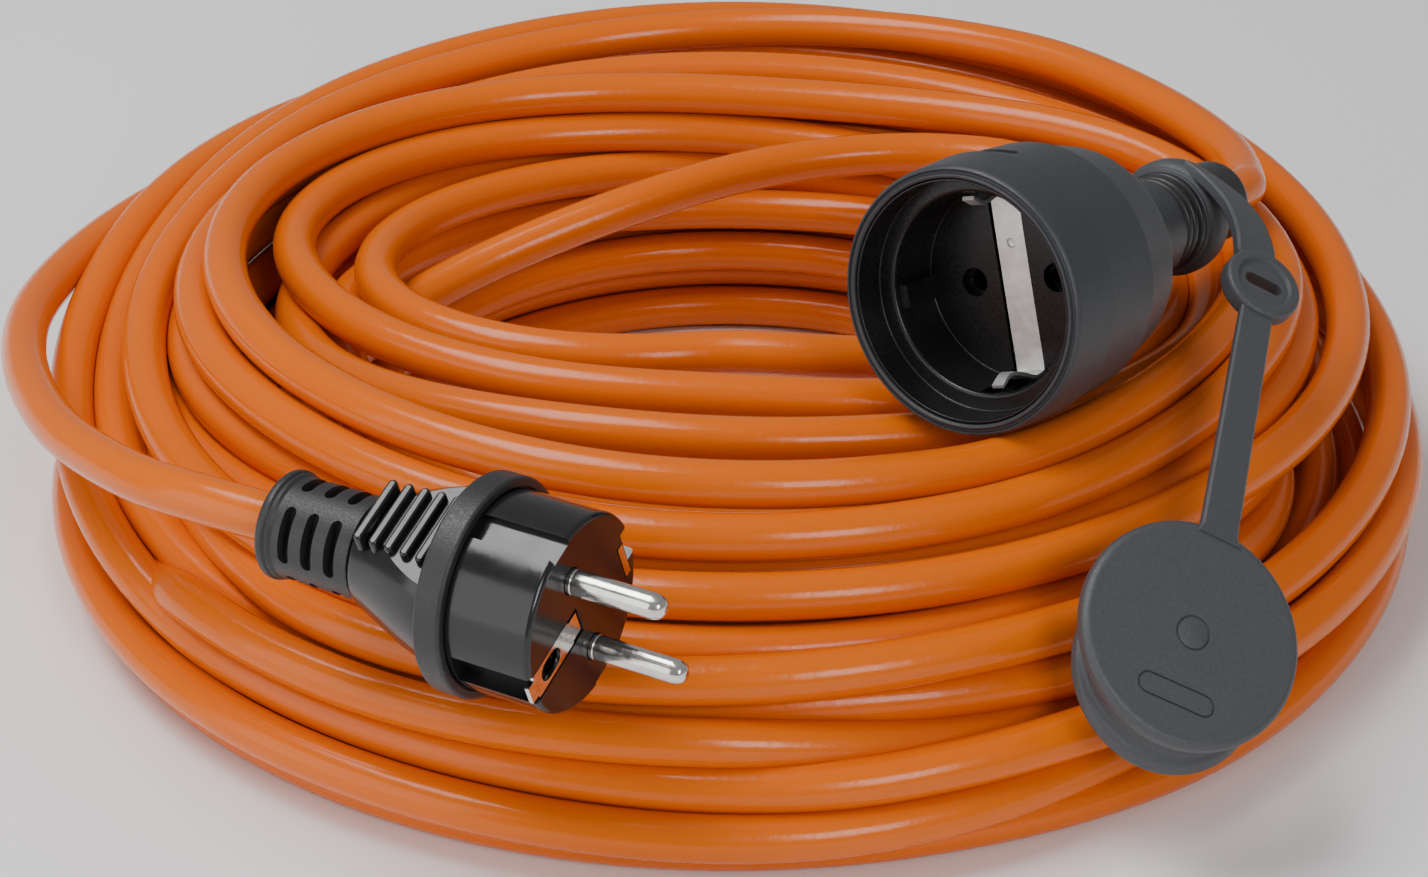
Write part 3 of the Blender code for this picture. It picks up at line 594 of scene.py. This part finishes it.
# --- materials ------------------------------------------------------------------------
def principled(name, colour, roughness, metallic=0.0):
    """A new material, with its nodes, its links and its shader."""
    mat = bpy.data.materials.new(name)
    mat.use_nodes = True
    nodes, links = mat.node_tree.nodes, mat.node_tree.links
    shader = nodes["Principled BSDF"]
    shader.inputs["Base Color"].default_value = (*colour, 1.0)
    shader.inputs["Roughness"].default_value = roughness
    shader.inputs["Metallic"].default_value = metallic
    return mat, nodes, links, shader


def noise(nodes, links, scale, detail=4.0, rough=0.6):
    """A noise texture that stays with the piece."""
    coords = nodes.new("ShaderNodeTexCoord")
    tex = nodes.new("ShaderNodeTexNoise")
    tex.inputs["Scale"].default_value = scale
    tex.inputs["Detail"].default_value = detail
    tex.inputs["Roughness"].default_value = rough
    links.new(coords.outputs["Object"], tex.inputs["Vector"])
    return tex


def ramp_between(nodes, links, tex, low, high):
    """The texture's values spread from low to high."""
    ramp = nodes.new("ShaderNodeMapRange")
    ramp.inputs["From Min"].default_value = NOISE_RANGE[0]
    ramp.inputs["From Max"].default_value = NOISE_RANGE[1]
    ramp.inputs["To Min"].default_value = low
    ramp.inputs["To Max"].default_value = high
    links.new(tex.outputs["Fac"], ramp.inputs["Value"])
    return ramp.outputs["Result"]


def bump(nodes, links, shader, tex, distance):
    """Raise the surface by the texture, by so many metres."""
    node = nodes.new("ShaderNodeBump")
    node.inputs["Distance"].default_value = distance
    node.inputs["Strength"].default_value = 1.0
    links.new(tex.outputs["Fac"], node.inputs["Height"])
    links.new(node.outputs["Normal"], shader.inputs["Normal"])


def tint(nodes, links, shader, tex, colour, dark, light):
    """Let the colour run a little darker and lighter with a texture."""
    mix = nodes.new("ShaderNodeMix")
    mix.data_type = "RGBA"
    mix.inputs["A"].default_value = (*(min(1, c * dark) for c in colour), 1)
    mix.inputs["B"].default_value = (*(min(1, c * light) for c in colour), 1)
    links.new(ramp_between(nodes, links, tex, 0, 1), mix.inputs["Factor"])
    links.new(mix.outputs["Result"], shader.inputs["Base Color"])


def jacket_material():
    """The cord's smooth plastic jacket."""
    mat, nodes, links, shader = principled("orange_cord_jacket", (0.70, 0.130, 0.0), 0.25)
    fine = noise(nodes, links, 900)
    links.new(ramp_between(nodes, links, fine, 0.15, 0.25), shader.inputs["Roughness"])
    bump(nodes, links, shader, noise(nodes, links, 350, 3), 0.00006)
    shader.inputs["Specular IOR Level"].default_value = 0.32
    return mat


def rubber_material(name, colour, low, high, grain=2600, depth=0.00005):
    """Matt moulded rubber: a fine leathery grain and a little unevenness."""
    mat, nodes, links, shader = principled(name, colour, 0.65)
    fine = noise(nodes, links, grain, 2, 0.5)
    links.new(ramp_between(nodes, links, fine, low, high), shader.inputs["Roughness"])
    tint(nodes, links, shader, noise(nodes, links, 1800, 3), colour, 0.9, 1.1)
    bump(nodes, links, shader, fine, depth)
    return mat


def gloss_material(name, colour):
    """Hard glossy moulding with faint handling marks."""
    mat, nodes, links, shader = principled(name, colour, 0.15)
    soft = noise(nodes, links, 120, 5, 0.65)
    links.new(ramp_between(nodes, links, soft, 0.12, 0.22), shader.inputs["Roughness"])
    bump(nodes, links, shader, noise(nodes, links, 400, 2), 0.00002)
    return mat


def metal_material(name, colour, low, high, metallic=1.0):
    """Plated or bare metal, a little unevenly bright."""
    mat, nodes, links, shader = principled(name, colour, low, metallic)
    tex = noise(nodes, links, 700, 4, 0.7)
    links.new(ramp_between(nodes, links, tex, low, high), shader.inputs["Roughness"])
    tint(nodes, links, shader, noise(nodes, links, 260, 3), colour, 0.85, 1.05)
    bump(nodes, links, shader, tex, 0.000012)
    return mat


# --- coupler --------------------------------------------------------------------------
def make_coupler(rubber, socket, black, strip):
    """The stepped housing, the ribbed neck, and what lies inside the mouth."""
    place = frame_matrix(COUPLER_RIM, COUPLER_AXIS, COUPLER_ROLL)
    housing = turned("coupler_shell", [
        (24.1, -0.2, 0.3), (24.8, 0.1, 0.3), (25.1, -0.9, 0.2), (25.5, -0.9, 0.2),
        (25.8, -0.3, 0.3), (26.5, -1.1, 0.7), (27.0, -12.7, 0.2), (26.5, -13.2, 0.2),
        (25.7, -29.5, 0.2), (25.2, -30.1, 0.2), (22.4, -42.6, 0.3), (21.9, -43.6, 0.6),
        (19.2, -45.6, 1.5), (13.6, -52, 4), (11.4, -60, 3), (10.8, -68.9, 0.5),
        (CORD_BORE, -69, 0.2), (CORD_BORE, -64, 0), (8.2, -58, 0), (17.2, -38, 0),
        (17.2, -32, 0), (21.8, -32, 0), (21.8, -9.6, 0), (24.1, -9.6, 0),
    ])
    notches = []
    for turn, at, floor in NOTCHES:
        notch = pill("notch", 9.0, 3.0, floor, 30)
        notch.data.transform(on_barrel(turn, at))
        notches.append(notch)
    bake(housing, notches, bevel=0.25)
    finished(housing, place, rubber, "cord_set",
             ["coupler_housing", "coupler_rim_seal"])
    make_socket_insert(place, socket)

    ribs = [(CORD_BORE, -100, 0.2), (8.0, -100, 0.4), (8.7, -98.6, 0.4), (8.7, -91.5, 0.4),
            (10.4, -86.8, 0.4), (10.4, -85.0, 0.5), (9.3, -84.9, 0.2), (9.3, -78.1, 0.2),
            (10.4, -78.0, 0.4), (10.4, -76.6, 0.4)]
    for k in range(3):
        top = -76.2 + 2.3 * k
        ribs += [(9.1, top, 0.2), (9.1, top + 0.5, 0.2), (10.0, top + 0.7, 0.35),
                 (10.0, top + 1.9, 0.35)]
    ribs += [(9.3, -69.4, 0.2), (CORD_BORE, -69.4, 0.1)]
    neck = turned("coupler_neck", ribs, 96)
    finished(neck, place, black, "cord_set", ["coupler_bend_relief"])

    make_earth_spring(place, strip)


def make_socket_insert(place, black):
    """The cup inside the mouth: a ledge, a rib on each side, earth notches, contact holes."""
    insert = turned("socket_insert", [
        (0, -WELL_DEPTH, 0), (WELL_R, -WELL_DEPTH, 0.3), (WELL_R, -7.7, 0.9), (23.3, -7.7, 0.3),
        (23.4, -0.6, 0.2), (23.9, -0.6, 0.2), (23.9, -9.3, 0), (21.6, -9.3, 0),
        (21.6, -29.5, 0), (0, -29.5, 0),
    ])
    ribs = []
    tools = [box("channel", (-3.6, -WELL_R, -22.1), (3.6, WELL_R, -19))]
    for side in (-1, 1):
        near, far = span(side, WELL_R - 1.9, WELL_R + 0.8)
        ribs.append(box("rib", (near, -2.3, -21.5), (far, 2.3, -9.2)))
        near, far = span(side, WELL_R - 2, WELL_R + 1)
        tools.append(box("notch", (-4.2, near, -23), (4.2, far, -8.6)))
        hole = [(0, -31, 0), (2.3, -31, 0), (2.3, -23.4, 0), (2.9, -23.4, 0), (2.9, -19, 0),
                (0, -19, 0)]
        tools.append(turned("hole", hole, 48, (side * PIN_OFFSET, 0, 0)))
    bake(insert, ribs, "UNION")
    bake(insert, tools, bevel=0.25)
    finished(insert, place, black, "cord_set", ["coupler_insert"])


def make_earth_spring(place, metal):
    """The bright strip across the well's floor, dimpled, with a sprung tip at each end."""
    tip = [(-18.6, -8.8), (-17.0, -12.2), (-17.8, -15.6), (-19.0, -18.4),
           (-18.7, STRIP_FLOOR + 0.7), (-17.6, STRIP_FLOOR), (-10, STRIP_FLOOR)]
    line = tip + [(0, STRIP_FLOOR)] + [(-y, z) for y, z in reversed(tip)]
    line = smooth_line(np.array([(0, y, z) for y, z in line], float), 4)
    bm = bmesh.new()
    rings = []
    for i, point in enumerate(line):
        ahead = Vector(line[min(i + 1, len(line) - 1)] - line[max(i - 1, 0)]).normalized()
        across = Vector((1, 0, 0)).cross(ahead) * 0.38 * MM
        edge = Vector((np.interp(point[2], (STRIP_FLOOR, -12), (3.2, 1.3)) * MM, 0, 0))
        here = Vector(point) * MM
        rings.append([bm.verts.new(here + s * edge + t * across)
                      for s, t in ((-1, -1), (1, -1), (1, 1), (-1, 1))])
    for low, high in zip(rings, rings[1:]):
        skin(bm, low, high)
    bm.faces.new(rings[0])
    bm.faces.new(rings[-1])
    strip = mesh_object("coupler_earth_strip", bm)
    dimple = turned("dimple", [(0, -21.5, 0), (0.9, -21.5, 0.2), (1.3, -20, 0), (0, -20, 0)], 32,
                    (0, 7.3, 0))
    bake(strip, [dimple], bevel=0.12)
    finished(strip, place, metal, "cord_set", ["coupler_earth_bridge"])


# --- cap and its tether ---------------------------------------------------------------
def strap_line():
    """Where the rubber bends: under the eye and at the cap's edge, about the coil's centre."""
    cap_bend = CAP_CENTRE + CAP_TO_STRAP * (CAP_R + FLEX_GAP) * MM
    cap_bend -= CAP_NORMAL * CAP_DISC_T / 2 * MM
    along = (EYE_CENTRE - cap_bend).normalized()
    eye_bend = EYE_CENTRE - along * (EYE_R + FLEX_GAP) * MM
    return eye_bend, cap_bend, along


def strap_face(along):
    """The way that the strap's flat side faces."""
    return (CAP_NORMAL - along * CAP_NORMAL.dot(along)).normalized()


def make_cap(rubber):
    """The cap: a disc with a lipped skirt behind it, and a plain panel marked on its front."""
    cap_bend = strap_line()[1]
    cap_along = (CAP_TO_STRAP - CAP_NORMAL * CAP_TO_STRAP.dot(CAP_NORMAL)).normalized()
    place = axes_matrix(cap_bend, cap_along.cross(CAP_NORMAL), CAP_NORMAL)
    place = place @ Matrix.Translation((0, (-CAP_R - FLEX_GAP) * MM, 0))
    front = CAP_DISC_T / 2
    back = front - CAP_HEIGHT
    cap = turned("sealing_cap", [
        (0, front, 0), (CAP_R - 1.1, front, 0.5), (CAP_R - 0.1, front - 0.9, 0.5),
        (CAP_R, front - 3.2, 0.8), (18.6, front - CAP_NECK, 0.8), (17.6, back + 3.4, 0.8),
        (18.9, back + 2.7, 0.5), (19.2, back + 0.8, 0.6), (18.4, back, 0.4),
        (14.6, back, 0.3), (14.6, front - 3.0, 0.5), (0, front - 3.0, 0),
    ])
    hang_skirt(cap, front - CAP_NECK, back)
    ring = turned("ring_mark", [(3.0, front - 0.35, 0), (3.4, front - 0.35, 0),
                                (3.4, front + 1, 0), (3.0, front + 1, 0)], 48)
    groove = pill("panel", 15.8, 4.4, front - 0.4, front + 1)
    bake(groove, [pill("panel", 15.0, 3.6, front - 2, front + 2)])
    groove.data.transform(Matrix.Translation((0, -12.6 * MM, 0)))
    bake(cap, [ring, groove], bevel=0.1)
    finished(cap, place, rubber, "cap", ["cap"])


def hang_skirt(cap, top, bottom):
    """The soft skirt hangs down a little, away from the strap."""
    for vertex in cap.data.vertices:
        share = (top * MM - vertex.co.z) / ((top - bottom) * MM)
        if share > 0:
            vertex.co.x += SKIRT_SLIP[0] * MM * share
            vertex.co.y += SKIRT_SLIP[1] * MM * share


def make_strap(rubber):
    """The strap in two halves, each shaped through the bend at its own end."""
    eye_bend, cap_bend, along = strap_line()
    side = along.cross(strap_face(along))
    middle = (eye_bend + cap_bend) / 2
    in_eye = EYE_CENTRE - along * (EYE_R - 2.6) * MM
    in_cap = CAP_CENTRE + CAP_TO_STRAP * (CAP_R - 2.5) * MM - CAP_NORMAL * 0.6 * MM
    halves = (
        ("strap_upper", "tether", "strap", eye_bend, in_eye, middle, [3.7, 3.6, 3.5, 3.6, 3.6]),
        ("strap_lower", "strap", "cap", cap_bend, middle, in_cap, [3.6, 3.7, 3.8, 4.0, 4.6]),
    )
    for name, first, second, bend, start, end, widths in halves:
        route = [start, start.lerp(bend, 0.5), bend, bend.lerp(end, 0.5), end]
        piece = ribbon(name, route, widths, 1.0, side)
        piece.data.transform(Matrix.Translation(COIL_CENTRE))
        piece.data.materials.append(rubber)
        piece.data.shade_smooth()
        piece.data.set_sharp_from_angle(angle=math.radians(STRAP_SHARP_ANGLE))
        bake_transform(piece)
    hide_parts("cap_strap")


def make_tether(rubber):
    """The band on the coupler's neck, its curved web and the thick slotted eye."""
    along = strap_line()[2]
    face = strap_face(along)
    neck = frame_matrix(Vector(COUPLER_RIM) - Vector(COUPLER_AXIS) * TETHER_AT * MM,
                        COUPLER_AXIS, COUPLER_ROLL)
    band = turned("tether_collar", [
        (9.85, -3.5, 0.4), (11.9, -3.5, 0.7), (12.3, -1.5, 0.8), (12.3, 1.2, 0.8),
        (11.4, 2.4, 0.5), (10.6, 2.7, 0.3), (10.6, 3.5, 0.3), (9.85, 3.5, 0.2),
    ], 96)
    to_neck = neck.inverted() @ axes_matrix(EYE_CENTRE, along.cross(face), face)
    disc = turned("eye_disc", [
        (0, -2.0, 0), (EYE_R - 0.3, -2.0, 0.6), (EYE_R, -1.2, 0.4), (EYE_R, 1.1, 0.4),
        (EYE_R - 0.4, 1.9, 0.5), (5.9, 1.95, 0.3), (5.6, 1.3, 0.2), (0, 1.3, 0),
    ], 72)
    disc.data.transform(to_neck)
    eye = to_neck.to_translation()
    eye_up = (to_neck.to_3x3() @ Vector((0, 0, 1))).normalized()
    outward = Vector((eye.x, eye.y, 0)).normalized()
    upward = Vector((-outward.y, outward.x, 0))
    if (neck.to_3x3() @ upward).z < 0:
        upward.negate()
    route = [outward * a * MM + upward * b * MM + Vector((0, 0, z * MM)) for a, b, z in WEB_ROUTE]
    last = route[-1] - eye
    last -= eye_up * last.dot(eye_up)
    route.append(eye + last.normalized() * (EYE_R - 2.6) * MM)
    side = eye_up.cross(eye - route[-2]).normalized()
    web = ribbon("web", route, [2.6, 3.2, 3.9, 4.2, 4.4, 4.4, 4.6], 1.3, side)
    bake(band, [web, disc], "UNION")
    slot = pill("slot", 8.2, 2.9, -4, 4)
    slot.data.transform(to_neck)
    bore = turned("bore", [(0, -8, 0), (9.85, -8, 0), (9.85, 8, 0), (0, 8, 0)], 96)
    bake(band, [slot, bore], bevel=0.25)
    finished(band, neck, rubber, "tether", ["tether_ring"])


def ribbon(name, route, widths, half_thick, side):
    """A flat strip with chamfered edges along a route in metres; widths are half widths in mm."""
    line = smooth_line(np.array([tuple(p) for p in route], float), RIBBON_STEPS)
    bm = bmesh.new()
    rings = []
    for k, point in enumerate(line):
        ahead = Vector(line[min(k + 1, len(line) - 1)] - line[max(k - 1, 0)]).normalized()
        across = side.cross(ahead).normalized() * half_thick * MM
        place = k / (len(line) - 1) * (len(widths) - 1)
        wide = float(np.interp(place, range(len(widths)), widths)) * MM
        rings.append([bm.verts.new(Vector(point) + side * wide * a + across * b)
                      for a, b in RIBBON_OUTLINE])
    for low, high in zip(rings, rings[1:]):
        skin(bm, low, high)
    bm.faces.new(rings[0])
    bm.faces.new(rings[-1])
    return mesh_object(name, bm)


# --- plug -----------------------------------------------------------------------------
def make_plug(gloss, grain, plate):
    """The plug from its face to its sleeve, with its pins and earth contacts."""
    place = frame_matrix(PLUG_FACE, PLUG_AXIS, PLUG_ROLL)
    body = turned("plug_front", [
        (0, 0, 0), (17.9, 0, 0.4), (18.5, -0.6, 0.4), (18.5, -17.5, 0), (15.7, -17.5, 0),
        (15.7, -22.5, 0), (0, -22.5, 0),
    ])
    tools = []
    for side in (-1, 1):
        near, far = span(side, 17.1, 21)
        tools.append(box("groove", (near, -2.7, -17.4), (far, 2.7, 2)))
        tools.append(turned("bore", [(0, -24, 0), (2.6, -24, 0), (2.6, 2, 0), (0, 2, 0)], 48,
                            (side * PIN_OFFSET, 0, 0)))
        near, far = span(side, 15.6, 21)
        tools.append(box("clip", (-3.4, near, -16.2), (3.4, far, 2)))
    tools.append(box("tab", (-3.3, 1.2, -1.2), (3.3, 21, 2)))
    tools.append(box("clip end", (-6.3, -15.5, -12.3), (1.7, -13.5, 2)))
    tools.append(turned("receptacle", [(0, -24, 0), (3.3, -24, 0), (3.3, 2, 0), (0, 2, 0)], 48,
                        (0, 10, 0)))
    bake(body, tools, bevel=0.15)
    finished(body, place, gloss, "cord_set", ["plug_body"])

    collar = turned("plug_flange", [
        (16.0, -22.5, 0), (20.2, -22.5, 0.4), (20.6, -22.1, 0.3), (20.6, -17.5, 0.3),
        (20.2, -17.0, 0.3), (18.8, -17.0, 0.2), (18.8, -17.8, 0), (16.0, -17.8, 0),
    ])
    finished(collar, place, grain, "cord_set", ["plug_collar"])
    make_plug_shell(place, gloss)
    make_plug_relief(place, grain)
    for name, side in (("pin_live", 1), ("pin_neutral", -1)):
        pin = turned("bright_" + name, [
            (0, -22, 0), (2.4, -22, 0), (2.4, 0.8, 0.1), (2.28, 0.9, 0.1), (2.28, 1.3, 0.1),
            (2.4, 1.4, 0.1), (2.4, 16.8, 0.8), (1.9, 18.4, 0.8), (0.8, 19, 0.4), (0, 19, 0),
        ], 48, (side * PIN_OFFSET, 0, 0))
        finished(pin, place, plate, "cord_set", [name])
    make_plug_earth(place, plate)


def make_plug_earth(place, plate):
    """The plate on the face with its oval eye, and the end of the other side's clip."""
    tab = box("earth_plate", (-2.85, 1.6, -0.9), (2.85, 19.0, -0.1))
    eye = pill("eye", 6.6, 4.2, -3, 3, 20)
    eye.data.transform(Matrix.Translation((0, 11.6 * MM, 0))
                       @ Matrix.Rotation(math.radians(90), 4, "Z"))
    cuts = [eye]
    for side in (-1, 1):
        for inner, low, high in ((2.0, 17.0, 20), (2.3, 0, 4.4)):
            near, far = span(side, inner, 4)
            cuts.append(box("step", (near, low, -3), (far, high, 3)))
    bake(tab, cuts, bevel=0.15)
    finished(tab, place, plate, "cord_set", ["plug_earth_tab"])
    clip = box("earth_clip_end", (-6.1, -15.3, -1.8), (1.5, -13.7, 0.12))
    leaf = box("leaf", (-3.1, -14.9, -11.6), (1.1, -14.1, -1))
    foot = box("foot", (-3.1, -17.6, -12), (1.1, -14.1, -11.2))
    spring = box("spring", (-3.1, -17.6, -12), (1.1, -17.0, -4.5))
    bake(clip, [leaf, foot, spring], "UNION", bevel=0.2)
    finished(clip, place, plate, "cord_set", ["plug_earth_clip"])


def make_plug_shell(place, gloss):
    """The waisted rear grip, with a ribbed flat on each side of the pin line."""
    front, back = -22.8, -43.0
    shell = turned("plug_grip", [
        (CORD_BORE, back, 0), (10.4, back, 0.8), (11.6, back + 3, 2), (14.9, back + 11, 4),
        (16.6, front - 3.5, 2), (17.2, front, 0), (13.6, front, 0), (11.7, front - 2, 0),
        (11.7, front - 11, 0), (8, back + 5, 0), (CORD_BORE, back + 3, 0),
    ])
    flats = []
    for side in (-1, 1):
        near, far = span(side, 12.5, 22)
        flats.append(box("flat", (near, -22, back - 3), (far, 22, front - 1.2)))
    bake(shell, flats, bevel=0.5, segments=3)
    ribs = []
    for side in (-1, 1):
        for k in range(5):
            rib = pill("rib", 15.4 - 0.3 * k, 1.9, 9.8, 13.9)
            bake(rib, bevel=0.55, segments=3)
            rib.data.transform(on_barrel(0, front - 3.4 - 3.35 * k, 90 * side))
            ribs.append(rib)
    bake(shell, ribs, "UNION")
    finished(shell, place, gloss, "cord_set", ["plug_rear_shell"])


def make_plug_relief(place, grain):
    """The slotted rubber sleeve with a stepped bead on its end."""
    front, back = -43.5, -63.7
    relief = turned("plug_sleeve", [
        (CORD_BORE, back, 0.3), (9.5, back, 0.6), (10.4, back + 0.8, 0.5), (10.4, back + 2.0, 0.3),
        (9.9, back + 2.3, 0.2), (10.1, back + 2.9, 0.3), (9.55, back + 3.5, 0.3),
        (9.75, front, 0.3), (CORD_BORE, front, 0),
    ], 96)
    slots = []
    for k in range(3):
        for row in range(4):
            slot = pill("slot", 10.6, 2.3, 6.6, 14)
            slot.data.transform(on_barrel(90 * row + 45, back + 6.3 + 5.0 * k))
            slots.append(slot)
    bake(relief, slots, bevel=0.35)
    finished(relief, place, grain, "cord_set", ["plug_bend_relief"])


# --- the cord, the studio and the rest ------------------------------------------------
def make_cord(jacket):
    """The whole cord as one tube, from the coupler's neck round the coil to the plug."""
    curve = bpy.data.curves.new("extension_cord", "CURVE")
    curve.dimensions = "3D"
    curve.bevel_depth = CORD_D / 2
    curve.bevel_resolution = 6
    curve.use_fill_caps = True
    line = smooth_line(cord_points() + COIL_CENTRE, FINE_STEPS)
    spline = curve.splines.new("POLY")
    spline.points.add(len(line) - 1)
    for point, place in zip(spline.points, line):
        point.co = (*place, 1.0)
    spline.use_smooth = True
    curve.materials.append(jacket)
    cord = bpy.data.objects.new("extension_cord", curve)
    bpy.context.scene.collection.objects.link(cord)
    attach(cord, "cord_set")
    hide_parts("cord_coil", "cord_plug_lead", "cord_coupler_lead")


def make_studio():
    """A pale floor, a white sky and three softboxes."""
    floor = bpy.data.meshes.new("floor")
    bm = bmesh.new()
    bmesh.ops.create_grid(bm, x_segments=1, y_segments=1, size=FLOOR_SIZE)
    bm.to_mesh(floor)
    bm.free()
    obj = bpy.data.objects.new("floor", floor)
    bpy.context.scene.collection.objects.link(obj)
    floor.materials.append(principled("pale_floor", (0.92, 0.92, 0.92), 0.6)[0])
    world = bpy.data.worlds.new("studio")
    bpy.context.scene.world = world
    world.use_nodes = True
    background = world.node_tree.nodes["Background"]
    background.inputs["Color"].default_value = (1, 1, 1, 1)
    background.inputs["Strength"].default_value = WORLD_STRENGTH
    for name, place, aim, width, height, power in SOFTBOXES:
        softbox(name, Vector(COIL_CENTRE) + Vector(place), Vector(COIL_CENTRE) + Vector(aim),
                width, height, power)


def softbox(name, place, aim, width, height, power):
    light = bpy.data.lights.new(name, "AREA")
    light.shape = "RECTANGLE"
    light.size = width
    light.size_y = height
    light.energy = power
    obj = bpy.data.objects.new(name, light)
    obj.location = place
    obj.rotation_euler = (aim - place).to_track_quat("-Z", "Y").to_euler()
    bpy.context.scene.collection.objects.link(obj)


def make_camera():
    camera = bpy.data.cameras.new("camera")
    camera.lens = CAMERA_LENS
    camera.sensor_width = SENSOR_WIDTH
    camera.clip_start = 0.01
    obj = bpy.data.objects.new("camera", camera)
    aim = Vector(COIL_CENTRE) + Vector((0, 0, AIM_HEIGHT))
    obj.location = aim + TOWARDS_CAMERA * CAMERA_DISTANCE
    obj.rotation_euler = (-TOWARDS_CAMERA).to_track_quat("-Z", "Y").to_euler()
    bpy.context.scene.collection.objects.link(obj)
    bpy.context.scene.camera = obj


def dress_cad_nodes(looks):
    """Give every CAD node that still shows its finished material."""
    for name, mat in looks.items():
        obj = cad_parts[name]
        obj.data.materials.clear()
        obj.data.materials.append(mat)


def wiring_looks(plate, brass):
    """The finished material of each CAD node that no piece here stands for."""
    looks = {"plug_earth_socket": plate, "contact_sleeve_live": brass,
             "contact_sleeve_neutral": brass}
    for end in ("plug", "coupler"):
        for wire, colour in WIRE_COLOURS.items():
            looks[f"{end}_core_{wire}"] = gloss_material(f"{end}_{wire}_insulation", colour)
        for wire in ("live", "neutral", "earth"):
            looks[f"{end}_crimp_{wire}"] = brass
    return looks


def main():
    make_camera()
    make_studio()
    rubber = rubber_material("grey_moulded_rubber", (0.034, 0.036, 0.041), 0.40, 0.54)
    soft = rubber_material("light_grey_rubber", (0.054, 0.056, 0.062), 0.44, 0.60)
    grain = rubber_material("black_grained_rubber", (0.020, 0.020, 0.022), 0.38, 0.55)
    satin = rubber_material("black_satin_moulding", (0.018, 0.018, 0.020), 0.32, 0.45,
                            grain=1600, depth=0.00003)
    socket = rubber_material("black_socket_moulding", (0.006, 0.006, 0.007), 0.26, 0.36,
                             grain=1600, depth=0.000006)
    gloss = gloss_material("gloss_black_moulding", (0.012, 0.012, 0.013))
    plate = metal_material("nickel_plate", (0.80, 0.78, 0.74), 0.10, 0.24)
    strip = metal_material("bright_strip", (0.93, 0.92, 0.90), 0.34, 0.48, metallic=0.8)
    brass = metal_material("bare_brass", (0.78, 0.55, 0.25), 0.25, 0.4)
    make_coupler(rubber, socket, satin, strip)
    make_cap(soft)
    make_strap(soft)
    make_tether(soft)
    make_plug(gloss, grain, plate)
    dress_cad_nodes(wiring_looks(plate, brass))
    make_cord(jacket_material())


main()
